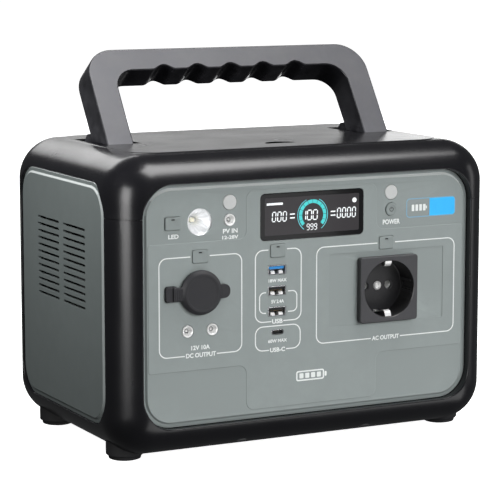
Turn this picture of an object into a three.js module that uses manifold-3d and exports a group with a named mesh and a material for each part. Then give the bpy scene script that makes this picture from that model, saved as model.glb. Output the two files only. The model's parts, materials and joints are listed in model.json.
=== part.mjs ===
// A portable power station: a rounded two-piece case with recessed grey panels, a fold-down
// handle, front outputs behind spring buttons, and the battery, boards and fan inside.
// Units are millimetres. X runs along the front, -Y is the front, Z is up, and the origin is the
// middle of the footprint on the surface that the feet stand on.

import * as THREE from 'three';
import { mergeVertices } from 'three/addons/utils/BufferGeometryUtils.js';
import { RoundedBoxGeometry } from 'three/addons/geometries/RoundedBoxGeometry.js';
import Module from 'manifold-3d';

// ---------------------------------------------------------------- driving dimensions

const caseWidth = 295;
const caseDepth = 197;
const caseHeight = 204;
const caseRadius = 29.5;
const caseSegments = 4;
const caseBottom = 4.5; // height of the case floor above the ground
const caseTop = caseBottom + caseHeight;
const caseMiddle = caseBottom + caseHeight / 2;
const sideWall = 6;
const endWall = 11; // front and rear frames are deep, because the panels sit back in them
const topWall = 3.5;
const seamHeight = 167.6; // parting line between the upper and lower shells
const gap = 0.3; // between pieces that touch

const panelWidth = 255;
const panelHeight = 165;
const panelRadius = 22;
const panelThickness = 2.5;
const panelRecess = 5.7; // front and rear panels, behind the case's outer face
const panelMiddle = 107.2;
const ledgeWidth = 5; // inner lip that a panel is fixed against
const sidePanelLength = 150;
const sidePanelRecess = 1.2;
const panelFront = -caseDepth / 2 + panelRecess;
const panelBack = panelFront + panelThickness;
const rearScrewX = 112;
const rearScrewReach = 67; // above and below the middle of the rear panel
const rearScrewPlaces = [-1, 1].flatMap((x) => (
  [-1, 1].map((z) => [x * rearScrewX, panelMiddle + z * rearScrewReach])));

const ventRows = 12;
const ventPitch = 4.9;
const ventLength = 38.4;
const ventHeight = 2;
const ventTop = 155.4;
const ventOffset = 23.2; // middle of each vent column from the middle of the panel

const handleLean = THREE.MathUtils.degToRad(34.4); // back from upright, when raised
const handleThickness = 23.1;
const handleOuter = 226;
const handleLegWidth = 20;
const handleReach = 64.6; // from the pivot to the far edge of the grip, along the legs
const gripHeight = 17.6;
const gripOuterRadius = 22;
const gripInnerRadius = 15;
const fingerCount = 5;
const fingerPitch = 26.7;
const fingerWidth = 17.5;
const fingerDepth = 3.5;
const pivotY = 27.4;
const pivotZ = 200.8;
const pivotToRearFace = 9; // the pivot lies behind the legs' rear face
const knuckleRadius = 13;
const pinRadius = 3;
const pocketSideGap = 5.5;
const pocketFront = -6.9;
const pocketRear = pivotY + knuckleRadius + 1.2;
const pocketFloor = pivotZ - knuckleRadius - 1.5;
const pocketWall = 4;

const rowTop = 163.4; // heights of the rows of front controls
const rowButtons = 140.2;
const rowSockets = 116;
const rowJacks = 89.9;

const buttonWidth = 11.4;
const buttonHeight = 8.7;
const buttonClearance = 0.35;
const buttonProud = 0.9;
const buttonDepth = 5;
const buttons = {
  led_button: [-104.4, rowTop],
  dc_button: [-84.4, rowButtons],
  usb_button: [-25.6, rowButtons],
  ac_button: [60.2, rowButtons],
};
const powerPlace = [64, rowTop];
const powerRadius = 4.5;

const lampPlace = [-84.3, rowTop];
const lampRadius = 9;
const indicatorRadius = 5.1;
const indicators = { indicator_lens_left: [-62, 175.4], indicator_lens_right: [64, 175.4] };
const displayPlace = [1.3, 163.4];
const displayWidth = 80.3;
const displayHeight = 32;

const jackRadius = 4.1;
const jackDepth = 12;
const jacks = {
  pv_input_jack: [-62, rowTop],
  dc_jack_left: [-93.7, rowJacks],
  dc_jack_right: [-75.3, rowJacks],
};

const carPlace = [-84.6, rowSockets];
const carBore = 10.7;
const carOuter = 13.4;
const carDepth = 38;
const coverRadius = 15.2;
const coverThickness = 4.4;
const coverHingeX = -102.2;
const coverHingeY = panelFront - 2.4;
const coverPlugRadius = 9.4;
const coverPlugDepth = 4.5;
const strapHeight = 10.3;
const strapAnchorWidth = 8.6;
const strapAnchorPlace = [-106.2, rowSockets];

const usbX = -26.1;
const usbRows = [127, 112.6, 98.3];
const usbOpening = [12.5, 5.1];
const usbWall = 0.6;
const usbDepth = 14;
const usbcPlace = [-25.6, 83.9];
const usbcOpening = [8.4, 2.6];
const usbcWall = 0.35;
const usbcDepth = 8;

const socketPlace = [60.4, 108];
const socketPlate = 46.2;
const socketProud = 5;
const wellRadius = 19.75;
const wellDepth = 17.5;
const cupRadius = 21.8;
const cupFloor = 2.5;
const pinSpacing = 19; // between the two contacts
const contactHole = 2.9;
const clipWidth = 5;
const clipRadius = 18.2;

const footX = 126;
const footY = 60.2;
const footRadius = 11.2;
const footFlange = 13;
const footStep = 2.8;

const notchRadius = 11.5; // shallow finger notch in the middle of the top
const notchDepth = 2.2;
const notchY = -50;
const archX = 49; // arched cut-outs at the bottom front edge
const archRadius = 6;

const fanSize = 60;
const fanDepth = 25;
const fanMiddle = [-126.2, 0, 128];
const fanBlades = 7;

// ---------------------------------------------------------------- solids

const wasm = await Module();
wasm.setup();

function toSolid(geometry) {
  const plain = geometry.clone();
  plain.deleteAttribute('normal');
  plain.deleteAttribute('uv');
  const merged = mergeVertices(plain, 1e-4);
  return new wasm.Manifold(new wasm.Mesh({
    numProp: 3,
    vertProperties: new Float32Array(merged.attributes.position.array),
    triVerts: new Uint32Array(merged.index.array),
  }));
}

function toGeometry(solid) {
  const mesh = solid.getMesh();
  const geometry = new THREE.BufferGeometry();
  geometry.setAttribute('position', new THREE.BufferAttribute(new Float32Array(mesh.vertProperties), 3));
  geometry.setIndex(new THREE.BufferAttribute(new Uint32Array(mesh.triVerts), 1));
  return geometry;
}

function join(...solids) {
  return solids.reduce((whole, piece) => whole.add(piece));
}

function cut(whole, ...pieces) {
  return pieces.reduce((rest, piece) => rest.subtract(piece), whole);
}

// A box given by its lowest and highest corners.
function block(low, high) {
  const size = high.map((value, axis) => value - low[axis]);
  const geometry = new THREE.BoxGeometry(...size);
  geometry.translate(...low.map((value, axis) => value + size[axis] / 2));
  return toSolid(geometry);
}

// A cylinder along X, Y or Z from one end to the other; place gives the other two coordinates.
function rod(axis, radius, from, to, place, sides) {
  const geometry = new THREE.CylinderGeometry(radius, radius, to - from, sides);
  const middle = (from + to) / 2;
  if (axis === 'x') {
    geometry.rotateZ(Math.PI / 2);
    geometry.translate(middle, place[0], place[1]);
  } else if (axis === 'y') {
    geometry.translate(place[0], middle, place[1]);
  } else {
    geometry.rotateX(Math.PI / 2);
    geometry.translate(place[0], place[1], middle);
  }
  return toSolid(geometry);
}

function roundedRectangle(width, height, radius) {
  const shape = new THREE.Shape();
  const x = width / 2;
  const y = height / 2;
  shape.moveTo(-x + radius, -y);
  shape.lineTo(x - radius, -y);
  shape.absarc(x - radius, -y + radius, radius, -Math.PI / 2, 0, false);
  shape.lineTo(x, y - radius);
  shape.absarc(x - radius, y - radius, radius, 0, Math.PI / 2, false);
  shape.lineTo(-x + radius, y);
  shape.absarc(-x + radius, y - radius, radius, Math.PI / 2, Math.PI, false);
  shape.lineTo(-x, -y + radius);
  shape.absarc(-x + radius, -y + radius, radius, Math.PI, 1.5 * Math.PI, false);
  return shape;
}

// A flat plate facing the front: a rounded rectangle in X and Z, between two depths.
function plate(width, height, radius, place, front, back, curveSegments = 6) {
  const settings = { depth: back - front, bevelEnabled: false, curveSegments };
  const geometry = new THREE.ExtrudeGeometry(roundedRectangle(width, height, radius), settings);
  geometry.rotateX(Math.PI / 2);
  geometry.translate(place[0], back, place[1]);
  return toSolid(geometry);
}

// The same plate facing the side: a rounded rectangle in Y and Z, between two X positions.
function sidePlate(width, height, radius, place, from, to, curveSegments = 6) {
  const settings = { depth: to - from, bevelEnabled: false, curveSegments };
  const geometry = new THREE.ExtrudeGeometry(roundedRectangle(width, height, radius), settings);
  geometry.rotateX(Math.PI / 2);
  geometry.rotateZ(Math.PI / 2);
  geometry.translate(from, place[0], place[1]);
  return toSolid(geometry);
}

// A shape drawn in Y and Z, extruded along X.
function profileAlongX(shape, from, to, curveSegments = 8) {
  const settings = { depth: to - from, bevelEnabled: false, curveSegments };
  const geometry = new THREE.ExtrudeGeometry(shape, settings);
  geometry.rotateX(Math.PI / 2);
  geometry.rotateZ(Math.PI / 2);
  geometry.translate(from, 0, 0);
  return toSolid(geometry);
}

// A turned piece with its axis along Y: profile points are [radius, y], starting and ending on the
// axis or at one point, in either direction.
function turned(profile, place, sides = 20) {
  const points = profile.map(([radius, y]) => new THREE.Vector2(radius, y));
  if (THREE.ShapeUtils.area(points) < 0) points.reverse();
  const geometry = new THREE.LatheGeometry(points, sides);
  geometry.translate(place[0], 0, place[1]);
  return toSolid(geometry);
}

const group = new THREE.Group();

function addNode(name, solid, color, roughness, metalness = 0) {
  const material = new THREE.MeshStandardMaterial({ color, roughness, metalness });
  const mesh = new THREE.Mesh(toGeometry(solid), material);
  mesh.name = name;
  group.add(mesh);
}

// ---------------------------------------------------------------- finishes

const black = [0x1b1b1e, 0.35];
const grey = [0x87908f, 0.5];
const ventGrey = [0x6a706f, 0.55];
const rubber = [0x202022, 0.8];
const steel = [0xb9bcc0, 0.3, 1];
const nickel = [0xd0d0cc, 0.22, 1];
const circuit = [0x1f5c3a, 0.6];
const darkPlastic = [0x151517, 0.6];

// ---------------------------------------------------------------- case shells and panels

const caseMid = [0, panelMiddle];
const sidePanelOuter = caseWidth / 2 - sidePanelRecess;
const sidePanelInner = sidePanelOuter - panelThickness;
const lipWidth = panelWidth - 2 * ledgeWidth;
const lipHeight = panelHeight - 2 * ledgeWidth;
const lipRadius = panelRadius - ledgeWidth;

function roundedCase(inset, segments = caseSegments) {
  const geometry = new RoundedBoxGeometry(
    caseWidth - 2 * inset, caseDepth - 2 * inset, caseHeight - 2 * inset,
    segments, caseRadius - inset,
  );
  geometry.translate(0, 0, caseMiddle);
  return toSolid(geometry);
}

// The case before it is split: hollow, with a recessed opening and a lip on each of four sides.
function makeCase() {
  const cavity = block(
    [-caseWidth / 2 + sideWall, -caseDepth / 2 + endWall, caseBottom + topWall],
    [caseWidth / 2 - sideWall, caseDepth / 2 - endWall, caseTop - topWall],
  );
  const through = [
    plate(lipWidth, lipHeight, lipRadius, caseMid, -caseDepth, caseDepth),
    sidePlate(sidePanelLength - 2 * ledgeWidth, lipHeight, lipRadius, caseMid, -caseWidth, caseWidth),
  ];
  const recesses = [
    plate(panelWidth, panelHeight, panelRadius, caseMid, -caseDepth, panelBack + gap),
    plate(panelWidth, panelHeight, panelRadius, caseMid, -panelBack - gap, caseDepth),
    sidePlate(sidePanelLength, panelHeight, panelRadius, caseMid, -caseWidth, -sidePanelInner + gap),
    sidePlate(sidePanelLength, panelHeight, panelRadius, caseMid, sidePanelInner - gap, caseWidth),
  ];
  return cut(roundedCase(0), roundedCase(topWall, 2).intersect(cavity), ...through, ...recesses);
}

const legX = handleOuter / 2 - handleLegWidth / 2;
const pocketHalf = handleLegWidth / 2 + pocketSideGap;

// The pocket that a handle leg turns in, or with grow, the walls around it.
function hingePocket(side, grow, top) {
  const x = side * legX;
  return block(
    [x - pocketHalf - grow, pocketFront - grow, pocketFloor - grow],
    [x + pocketHalf + grow, pocketRear + grow, top],
  );
}

function makeUpperShell(whole) {
  let shell = whole.intersect(block([-200, -200, seamHeight + gap / 2], [200, 200, 300]));
  for (const side of [-1, 1]) {
    const x = side * legX;
    const reach = pocketHalf + pocketWall + 1;
    shell = join(shell, hingePocket(side, pocketWall, caseTop - 1));
    shell = cut(
      shell,
      hingePocket(side, 0, caseTop + 5),
      rod('x', pinRadius + gap / 2, x - reach, x + reach, [pivotY, pivotZ], 24),
    );
  }
  const disc = rod('z', notchRadius, caseTop - notchDepth, caseTop + 5, [0, notchY], 24);
  return cut(shell, disc.intersect(block([-50, notchY, 0], [50, notchY + 50, 300])));
}

function makeLowerShell(whole) {
  const shell = whole.intersect(block([-200, -200, -50], [200, 200, seamHeight - gap / 2]));
  const front = -caseDepth / 2;
  const arches = [-archX, archX].map((x) => rod('y', archRadius, front - 1, front + 14, [x, caseBottom], 20));
  return cut(shell, ...arches);
}

function makeCasePanels() {
  const width = panelWidth - 2 * gap;
  const height = panelHeight - 2 * gap;
  const radius = panelRadius - gap;
  const front = plate(width, height, radius, caseMid, panelFront, panelBack);
  const rear = plate(width, height, radius, caseMid, -panelBack, -panelFront);
  addNode('front_panel', cut(front, ...frontHoles()), ...grey);
  const screwHoles = rearScrewPlaces.map((place) => rod('y', 1.8, 80, 120, place, 12));
  addNode('rear_panel', cut(rear, ...screwHoles), ...grey);
  for (const [name, side] of [['left_side_panel', -1], ['right_side_panel', 1]]) {
    const from = Math.min(side * sidePanelOuter, side * sidePanelInner);
    const blank = sidePlate(sidePanelLength - 2 * gap, height, radius, caseMid, from, from + panelThickness);
    addNode(name, cut(blank, ...vents(side)), ...ventGrey);
  }
}

function vents(side) {
  const slots = [];
  for (let row = 0; row < ventRows; row += 1) {
    for (const column of [-1, 1]) {
      const place = [column * ventOffset, ventTop - row * ventPitch];
      const from = Math.min(side * 130, side * 160);
      slots.push(sidePlate(ventLength, ventHeight, ventHeight / 2 - 0.01, place, from, from + 30, 1));
    }
  }
  return slots;
}

function makeRearScrews() {
  rearScrewPlaces.forEach((place, index) => {
    const face = -panelFront;
    const screw = turned([[0, face + 1.6], [2.6, face + 1.2], [3, face + gap], [1.5, face + gap],
      [1.5, face - 7], [0, face - 8]], place, 10);
    addNode(`rear_screw_${index + 1}`, screw, ...steel);
  });
}

// Every opening in the front panel.
function frontHoles() {
  const from = panelFront - 5;
  const to = panelBack + 5;
  const slack = buttonClearance;
  const holes = Object.values(buttons).map((place) => (
    plate(buttonWidth + 2 * slack, buttonHeight + 2 * slack, 1.2, place, from, to, 2)));
  holes.push(rod('y', powerRadius + slack, from, to, powerPlace, 16));
  holes.push(rod('y', lampRadius + gap, from, to, lampPlace, 20));
  holes.push(...Object.values(indicators).map((place) => (
    rod('y', indicatorRadius + gap, from, to, place, 16))));
  holes.push(...Object.values(jacks).map((place) => rod('y', jackRadius + gap, from, to, place, 16)));
  holes.push(plate(displayWidth + 2 * gap, displayHeight + 2 * gap, 1.5, displayPlace, from, to, 2));
  holes.push(rod('y', carOuter + gap, from, to, carPlace, 24));
  holes.push(plate(strapAnchorWidth + 2 * gap, strapHeight + 2 * gap, 2, strapAnchorPlace, from, to, 2));
  const usbHole = usbOpening.map((size) => size + 2 * (usbWall + gap));
  holes.push(...usbRows.map((z) => plate(...usbHole, 0.8, [usbX, z], from, to, 2)));
  const usbcHole = usbcOpening.map((size) => size + 2 * (usbcWall + gap));
  holes.push(plate(...usbcHole, usbcHole[1] / 2 - 0.01, usbcPlace, from, to, 4));
  holes.push(rod('y', cupRadius + gap, from, to, socketPlace, 28));
  return holes;
}

// ---------------------------------------------------------------- handle and its hinge

// The grip's outline in the plane of the handle: X across, Y up the legs from the pivot.
function handleOutline() {
  const half = handleOuter / 2;
  const inner = half - handleLegWidth;
  const foot = -30;
  const under = handleReach - gripHeight;
  const shape = new THREE.Shape();
  shape.moveTo(-half, foot);
  shape.lineTo(-inner, foot);
  shape.lineTo(-inner, under - gripInnerRadius);
  shape.absarc(-inner + gripInnerRadius, under - gripInnerRadius, gripInnerRadius,
    Math.PI, Math.PI / 2, true);
  for (let finger = 0; finger < fingerCount; finger += 1) {
    const x = (finger - (fingerCount - 1) / 2) * fingerPitch;
    const half = fingerWidth / 2;
    shape.lineTo(x - half, under);
    shape.bezierCurveTo(x - half * 0.55, under, x - half * 0.6, under + fingerDepth, x, under + fingerDepth);
    shape.bezierCurveTo(x + half * 0.6, under + fingerDepth, x + half * 0.55, under, x + half, under);
  }
  shape.lineTo(inner - gripInnerRadius, under);
  shape.absarc(inner - gripInnerRadius, under - gripInnerRadius, gripInnerRadius, Math.PI / 2, 0, true);
  shape.lineTo(inner, foot);
  shape.lineTo(half, foot);
  shape.lineTo(half, handleReach - gripOuterRadius);
  shape.absarc(half - gripOuterRadius, handleReach - gripOuterRadius, gripOuterRadius, 0, Math.PI / 2, false);
  shape.lineTo(-half + gripOuterRadius, handleReach);
  shape.absarc(-half + gripOuterRadius, handleReach - gripOuterRadius, gripOuterRadius,
    Math.PI / 2, Math.PI, false);
  return shape;
}

// A leg's root, seen from the side about the pivot: it fills the pocket's front and ends in the knuckle.
function rootOutline() {
  const shape = new THREE.Shape();
  shape.moveTo(-32.4, 9);
  shape.lineTo(-32.4, 0);
  shape.lineTo(-30, -9);
  shape.lineTo(-24, -knuckleRadius);
  shape.lineTo(0, -knuckleRadius);
  shape.absarc(0, 0, knuckleRadius, -Math.PI / 2, 0.6 * Math.PI, false); // ends inside the leg
  shape.lineTo(-8, 9);
  return shape;
}

function makeHandle() {
  const settings = { depth: handleThickness, bevelEnabled: false, curveSegments: 6 };
  const geometry = new THREE.ExtrudeGeometry(handleOutline(), settings);
  geometry.translate(0, 0, pivotToRearFace);
  geometry.rotateX(Math.PI / 2 - handleLean); // outline stands up and leans back; depth runs forwards
  const arch = cut(toSolid(geometry), block([-200, -200, -100], [200, 200, 7.9]));
  const rootHalf = handleLegWidth / 2 - 0.4;
  const root = (side) => profileAlongX(rootOutline(), side * legX - rootHalf, side * legX + rootHalf);
  const bore = rod('x', pinRadius + 0.3, -200, 200, [0, 0], 24);
  const handle = cut(join(arch, root(-1), root(1)), bore).translate([0, pivotY, pivotZ]);
  addNode('handle', handle, 0x76767b, 0.45);
  for (const [name, side] of [['hinge_pin_left', -1], ['hinge_pin_right', 1]]) {
    const reach = pocketHalf + pocketWall - 0.3;
    const pin = rod('x', pinRadius, side * legX - reach, side * legX + reach, [pivotY, pivotZ], 20);
    addNode(name, pin, ...steel);
  }
}

// ---------------------------------------------------------------- feet

function makeFeet() {
  const clearance = roundedCase(-gap);
  for (const [end, y] of [['front', -footY], ['rear', footY]]) {
    for (const [side, x] of [['left', -footX], ['right', footX]]) {
      const disc = rod('z', footRadius, 0, footStep + 0.5, [x, y], 20);
      const flange = rod('z', footFlange, footStep, 16, [x, y], 20);
      addNode(`foot_${end}_${side}`, cut(join(disc, flange), clearance), ...rubber);
    }
  }
}

// ---------------------------------------------------------------- front controls

function makeButtons() {
  const front = panelFront - buttonProud;
  const back = front + buttonDepth;
  for (const [name, place] of Object.entries(buttons)) {
    addNode(name, plate(buttonWidth, buttonHeight, 1, place, front, back, 3), ...grey);
  }
  addNode('power_button', rod('y', powerRadius, front, back, powerPlace, 16), ...grey);
}

function makeLamp() {
  const face = panelFront;
  const lens = turned([[0, face - 0.8], [6, face - 0.5], [lampRadius, face], [lampRadius, face + 1.5],
    [0, face + 1.5]], lampPlace);
  addNode('lamp_lens', lens, 0xf2f6f8, 0.08);
  const back = face + 12;
  const reflector = turned([[2.2, back], [3.4, back - 3], [6.4, face + 5], [8.2, face + 2],
    [lampRadius, face + 2], [lampRadius, face + 4], [5.4, back], [2.2, back]], lampPlace);
  addNode('lamp_reflector', reflector, 0xe6e8ea, 0.1, 1);
  const board = join(
    rod('y', 8.5, back + gap, back + gap + 1.6, lampPlace, 24),
    rod('y', 1.7, back - 1, back + gap + 0.5, lampPlace, 12),
  );
  addNode('lamp_led_board', board, ...circuit);
}

function makeDisplay() {
  const width = displayWidth;
  const height = displayHeight;
  const lens = plate(width, height, 1.2, displayPlace, panelFront - 0.2, panelFront + 1.4, 3);
  addNode('display_window', lens, 0x0c0d10, 0.08);
  const screen = plate(width - 2, height - 2, 1, displayPlace, panelFront + 1.7, panelFront + 7, 2);
  const board = plate(width + 6, height + 6, 1, displayPlace, panelFront + 6.9, panelFront + 8.5, 2);
  addNode('display_module', join(screen, board), 0x17191d, 0.4);
  for (const [name, place] of Object.entries(indicators)) {
    addNode(name, rod('y', indicatorRadius, panelFront - 0.3, panelFront + 3, place, 16), 0xc4c6c4, 0.35);
  }
}

// ---------------------------------------------------------------- front outputs

function makeJacks() {
  for (const [name, place] of Object.entries(jacks)) {
    const front = panelFront - 0.4;
    const back = front + jackDepth;
    const jack = turned([[0, back - 1.5], [0.9, back - 1.5], [0.9, front + 3], [0.4, front + 2.5],
      [0, front + 2.4]], place, 10);
    const sleeve = turned([[0, back], [jackRadius, back], [jackRadius, front + 0.3],
      [jackRadius - 0.3, front],
      [2.9, front], [2.75, front + 0.6], [2.75, back - 2], [0, back - 2]], place, 16);
    addNode(name, join(sleeve, jack), ...nickel);
  }
}

function makeCarSocket() {
  const front = panelFront - 0.3;
  const back = front + carDepth;
  const barrel = turned([[3.5, back], [carOuter, back], [carOuter, front], [carBore, front],
    [carBore, back - 2.5],
    [3.5, back - 2.5], [3.5, back]], carPlace, 24);
  addNode('car_socket', barrel, ...darkPlastic);
  const contact = turned([[0, back + 4], [3, back + 4], [3, back - 5], [1.6, back - 7], [0, back - 7]],
    carPlace, 20);
  addNode('car_socket_contact', contact, ...nickel);

  const coverBack = panelFront - 0.6;
  const coverFront = coverBack - coverThickness;
  const disc = turned([[0, coverFront + 1], [coverRadius - 3, coverFront + 1],
    [coverRadius - 2.2, coverFront],
    [coverRadius - 0.7, coverFront], [coverRadius, coverFront + 0.7], [coverRadius, coverBack],
    [coverPlugRadius, coverBack], [coverPlugRadius, coverBack + coverPlugDepth - 0.6],
    [coverPlugRadius - 0.6, coverBack + coverPlugDepth], [0, coverBack + coverPlugDepth]], carPlace, 28);
  const tabPlace = [carPlace[0] + coverRadius + 1.5, rowSockets];
  const tab = plate(10, 10.4, 3, tabPlace, coverFront + 0.6, coverBack - 0.4, 4);
  const ear = plate(5, strapHeight - 2, 0.8, [coverHingeX + 3.4, rowSockets],
    coverHingeY - 1.4, coverHingeY + 0.6, 2);
  addNode('car_socket_cover', join(disc, tab, ear), ...rubber);

  const anchor = join(
    plate(strapAnchorWidth, strapHeight, 1.8, strapAnchorPlace, panelFront - 2.6, panelBack + 1, 4),
    plate(strapAnchorWidth + 3, strapHeight + 3, 2, strapAnchorPlace, panelBack + gap, panelBack + 2.5, 3),
  );
  addNode('cover_strap_anchor', anchor, ...rubber);
}

function makeUsbPorts() {
  const front = panelFront - 0.2;
  usbRows.forEach((z, index) => {
    const place = [usbX, z];
    const outer = usbOpening.map((size) => size + 2 * usbWall);
    const shell = cut(
      plate(...outer, 0.7, place, front, front + usbDepth, 2),
      plate(...usbOpening, 0.3, place, front - 1, front + usbDepth - 1, 2),
    );
    addNode(`usb_a_port_${index + 1}`, shell, ...steel);
    const tongueZ = z + 1.35;
    const tongue = plate(11.1, 1.8, 0.2, [usbX, tongueZ], front + 1, front + usbDepth - 1 - gap, 1);
    addNode(`usb_a_tongue_${index + 1}`, tongue, index === 0 ? 0x2f8fd8 : 0x141416, 0.5);
  });
  const outer = usbcOpening.map((size) => size + 2 * usbcWall);
  const shell = cut(
    plate(...outer, outer[1] / 2 - 0.01, usbcPlace, front, front + usbcDepth, 5),
    plate(...usbcOpening, usbcOpening[1] / 2 - 0.01, usbcPlace, front - 1, front + usbcDepth - 1, 5),
  );
  addNode('usb_c_port', shell, ...steel);
  const tongue = plate(6.2, 0.8, 0.3, usbcPlace, front + 1, front + usbcDepth - 1 - gap, 2);
  addNode('usb_c_tongue', tongue, ...darkPlastic);
}

function makeAcSocket() {
  const face = panelFront - socketProud;
  const wellFloor = face + wellDepth;
  const back = wellFloor + cupFloor;
  const [x, z] = socketPlace;
  const faceplate = plate(socketPlate, socketPlate, 3, socketPlace, face, panelFront - gap, 4);
  const cup = rod('y', cupRadius, face + 1, back, socketPlace, 28);
  const well = rod('y', wellRadius, face - 1, wellFloor, socketPlace, 32);
  const contacts = [-1, 1].map((side) => (
    rod('y', contactHole, wellFloor - 1, back + 1, [x + side * pinSpacing / 2, z], 14)));
  const clipSlots = [-1, 1].map((side) => block(
    [x - clipWidth / 2 - gap, wellFloor - 1, z + side * clipRadius - 1],
    [x + clipWidth / 2 + gap, back + 1, z + side * clipRadius + 1],
  ));
  const screwHole = rod('y', 1.9, wellFloor - 1, back + 1, socketPlace, 14);
  addNode('ac_socket', cut(join(faceplate, cup), well, ...contacts, ...clipSlots, screwHole), ...darkPlastic);

  const low = [x - clipWidth / 2, face + 2.5];
  const strap = [-1, 1].map((side) => block(
    [low[0], low[1], z + side * clipRadius - 0.6],
    [x + clipWidth / 2, back + 1.3, z + side * clipRadius + 0.6],
  ));
  const bridge = block(
    [low[0], back + gap, z - clipRadius - 0.6],
    [x + clipWidth / 2, back + 1.3, z + clipRadius + 0.6],
  );
  const earth = cut(join(...strap, bridge), rod('y', 2, back - 5, back + 5, socketPlace, 14));
  addNode('ac_earth_clip', earth, ...nickel);
  for (const [name, side] of [['ac_contact_live', -1], ['ac_contact_neutral', 1]]) {
    const place = [x + side * pinSpacing / 2, z];
    const tube = cut(
      rod('y', 3.4, back + gap, back + 12, place, 14),
      rod('y', 2.5, back - 1, back + 10, place, 14),
    );
    addNode(name, tube, ...nickel);
  }
  const screw = turned([[0, wellFloor - 2], [2.8, wellFloor - 1.6], [3.2, wellFloor - gap],
    [1.5, wellFloor - gap],
    [1.5, back + 6], [0, back + 7]], socketPlace, 12);
  addNode('ac_socket_screw', screw, ...steel);
}

// ---------------------------------------------------------------- inside

function makeInternals() {
  const floor = caseBottom + topWall + gap;
  const batteryTop = floor + 92;
  const packFront = -45;
  const packRear = 67;
  addNode('battery_pack', block([-108, packFront, floor], [108, packRear, batteryTop]), 0x2d5f9a, 0.5);
  const bracketWidth = 24;
  const bracket = cut(
    block([-bracketWidth / 2, packFront - 2.5, floor], [bracketWidth / 2, packRear + 2.5, batteryTop + 2.5]),
    block([-bracketWidth, packFront - gap, 0], [bracketWidth, packRear + gap, batteryTop + gap]),
  );
  addNode('battery_bracket', bracket, ...steel);
  const bmsLow = batteryTop + 3;
  const bms = join(
    block([-104, -38, bmsLow], [-20, 62, bmsLow + 1.6]),
    block([-96, -30, bmsLow + 1], [-76, 50, bmsLow + 7]),
    block([-60, 0, bmsLow + 1], [-40, 20, bmsLow + 10]),
  );
  addNode('bms_board', bms, ...circuit);
  const inverterLow = batteryTop + 5;
  const inverter = join(
    block([20, -40, inverterLow], [132, 70, inverterLow + 1.6]),
    rod('z', 11, inverterLow + 1, inverterLow + 34, [36, -18], 24),
    rod('z', 11, inverterLow + 1, inverterLow + 34, [62, -18], 24),
    block([90, -32, inverterLow + 1], [124, 2, inverterLow + 28]),
  );
  addNode('inverter_board', inverter, ...circuit);
  const sinkLow = inverterLow + 1.9;
  const fins = [];
  for (let fin = 0; fin < 8; fin += 1) {
    const y = 20 + fin * 6;
    fins.push(block([30, y, sinkLow + 3], [126, y + 1.6, sinkLow + 30]));
  }
  addNode('heat_sink', join(block([30, 18, sinkLow], [126, 66, sinkLow + 4]), ...fins), ...steel);
  addNode('control_board', join(
    block([-46, -77.5, 72], [-4, -75.9, 136]),
    block([-40, -76, 96], [-12, -68, 116]),
  ), ...circuit);
}

function makeFan() {
  const [x, y, z] = fanMiddle;
  const half = fanSize / 2;
  const from = x - fanDepth / 2;
  const to = x + fanDepth / 2;
  const ring = cut(
    block([from, y - half, z - half], [to, y + half, z + half]),
    rod('x', half - 2, from - 1, to + 1, [y, z], 40),
  );
  const spokes = [0, 1, 2].map((spoke) => {
    const angle = spoke * 120 + 30;
    return block([to - 2.5, -1.5, 0], [to, 1.5, half - 1]).rotate([angle, 0, 0]).translate([0, y, z]);
  });
  const hub = rod('x', 11, to - 2.5, to, [y, z], 24);
  const pin = rod('x', 1.5, to - 14, to - 1, [y, z], 12);
  addNode('fan_frame', join(ring, ...spokes, hub, pin), ...darkPlastic);
  const blades = [];
  for (let blade = 0; blade < fanBlades; blade += 1) {
    const turn = (360 / fanBlades) * blade;
    const paddle = block([-7.5, -0.8, 8], [7.5, 0.8, half - 3.4]).rotate([0, 0, 38]);
    blades.push(paddle.rotate([turn, 0, 0]).translate([to - 14, y, z]));
  }
  const rotorHub = cut(
    rod('x', 10, to - 21, to - 3.2, [y, z], 24),
    rod('x', 1.9, to - 15, to, [y, z], 12),
  );
  addNode('fan_rotor', join(rotorHub, ...blades), ...darkPlastic);
}

const wholeCase = makeCase();
addNode('upper_shell', makeUpperShell(wholeCase), ...black);
addNode('lower_shell', makeLowerShell(wholeCase), ...black);
makeCasePanels();
makeRearScrews();
makeHandle();
makeFeet();
makeButtons();
makeLamp();
makeDisplay();
makeJacks();
makeCarSocket();
makeUsbPorts();
makeAcSocket();
makeInternals();
makeFan();

export default group;
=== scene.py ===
import json
import math

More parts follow.
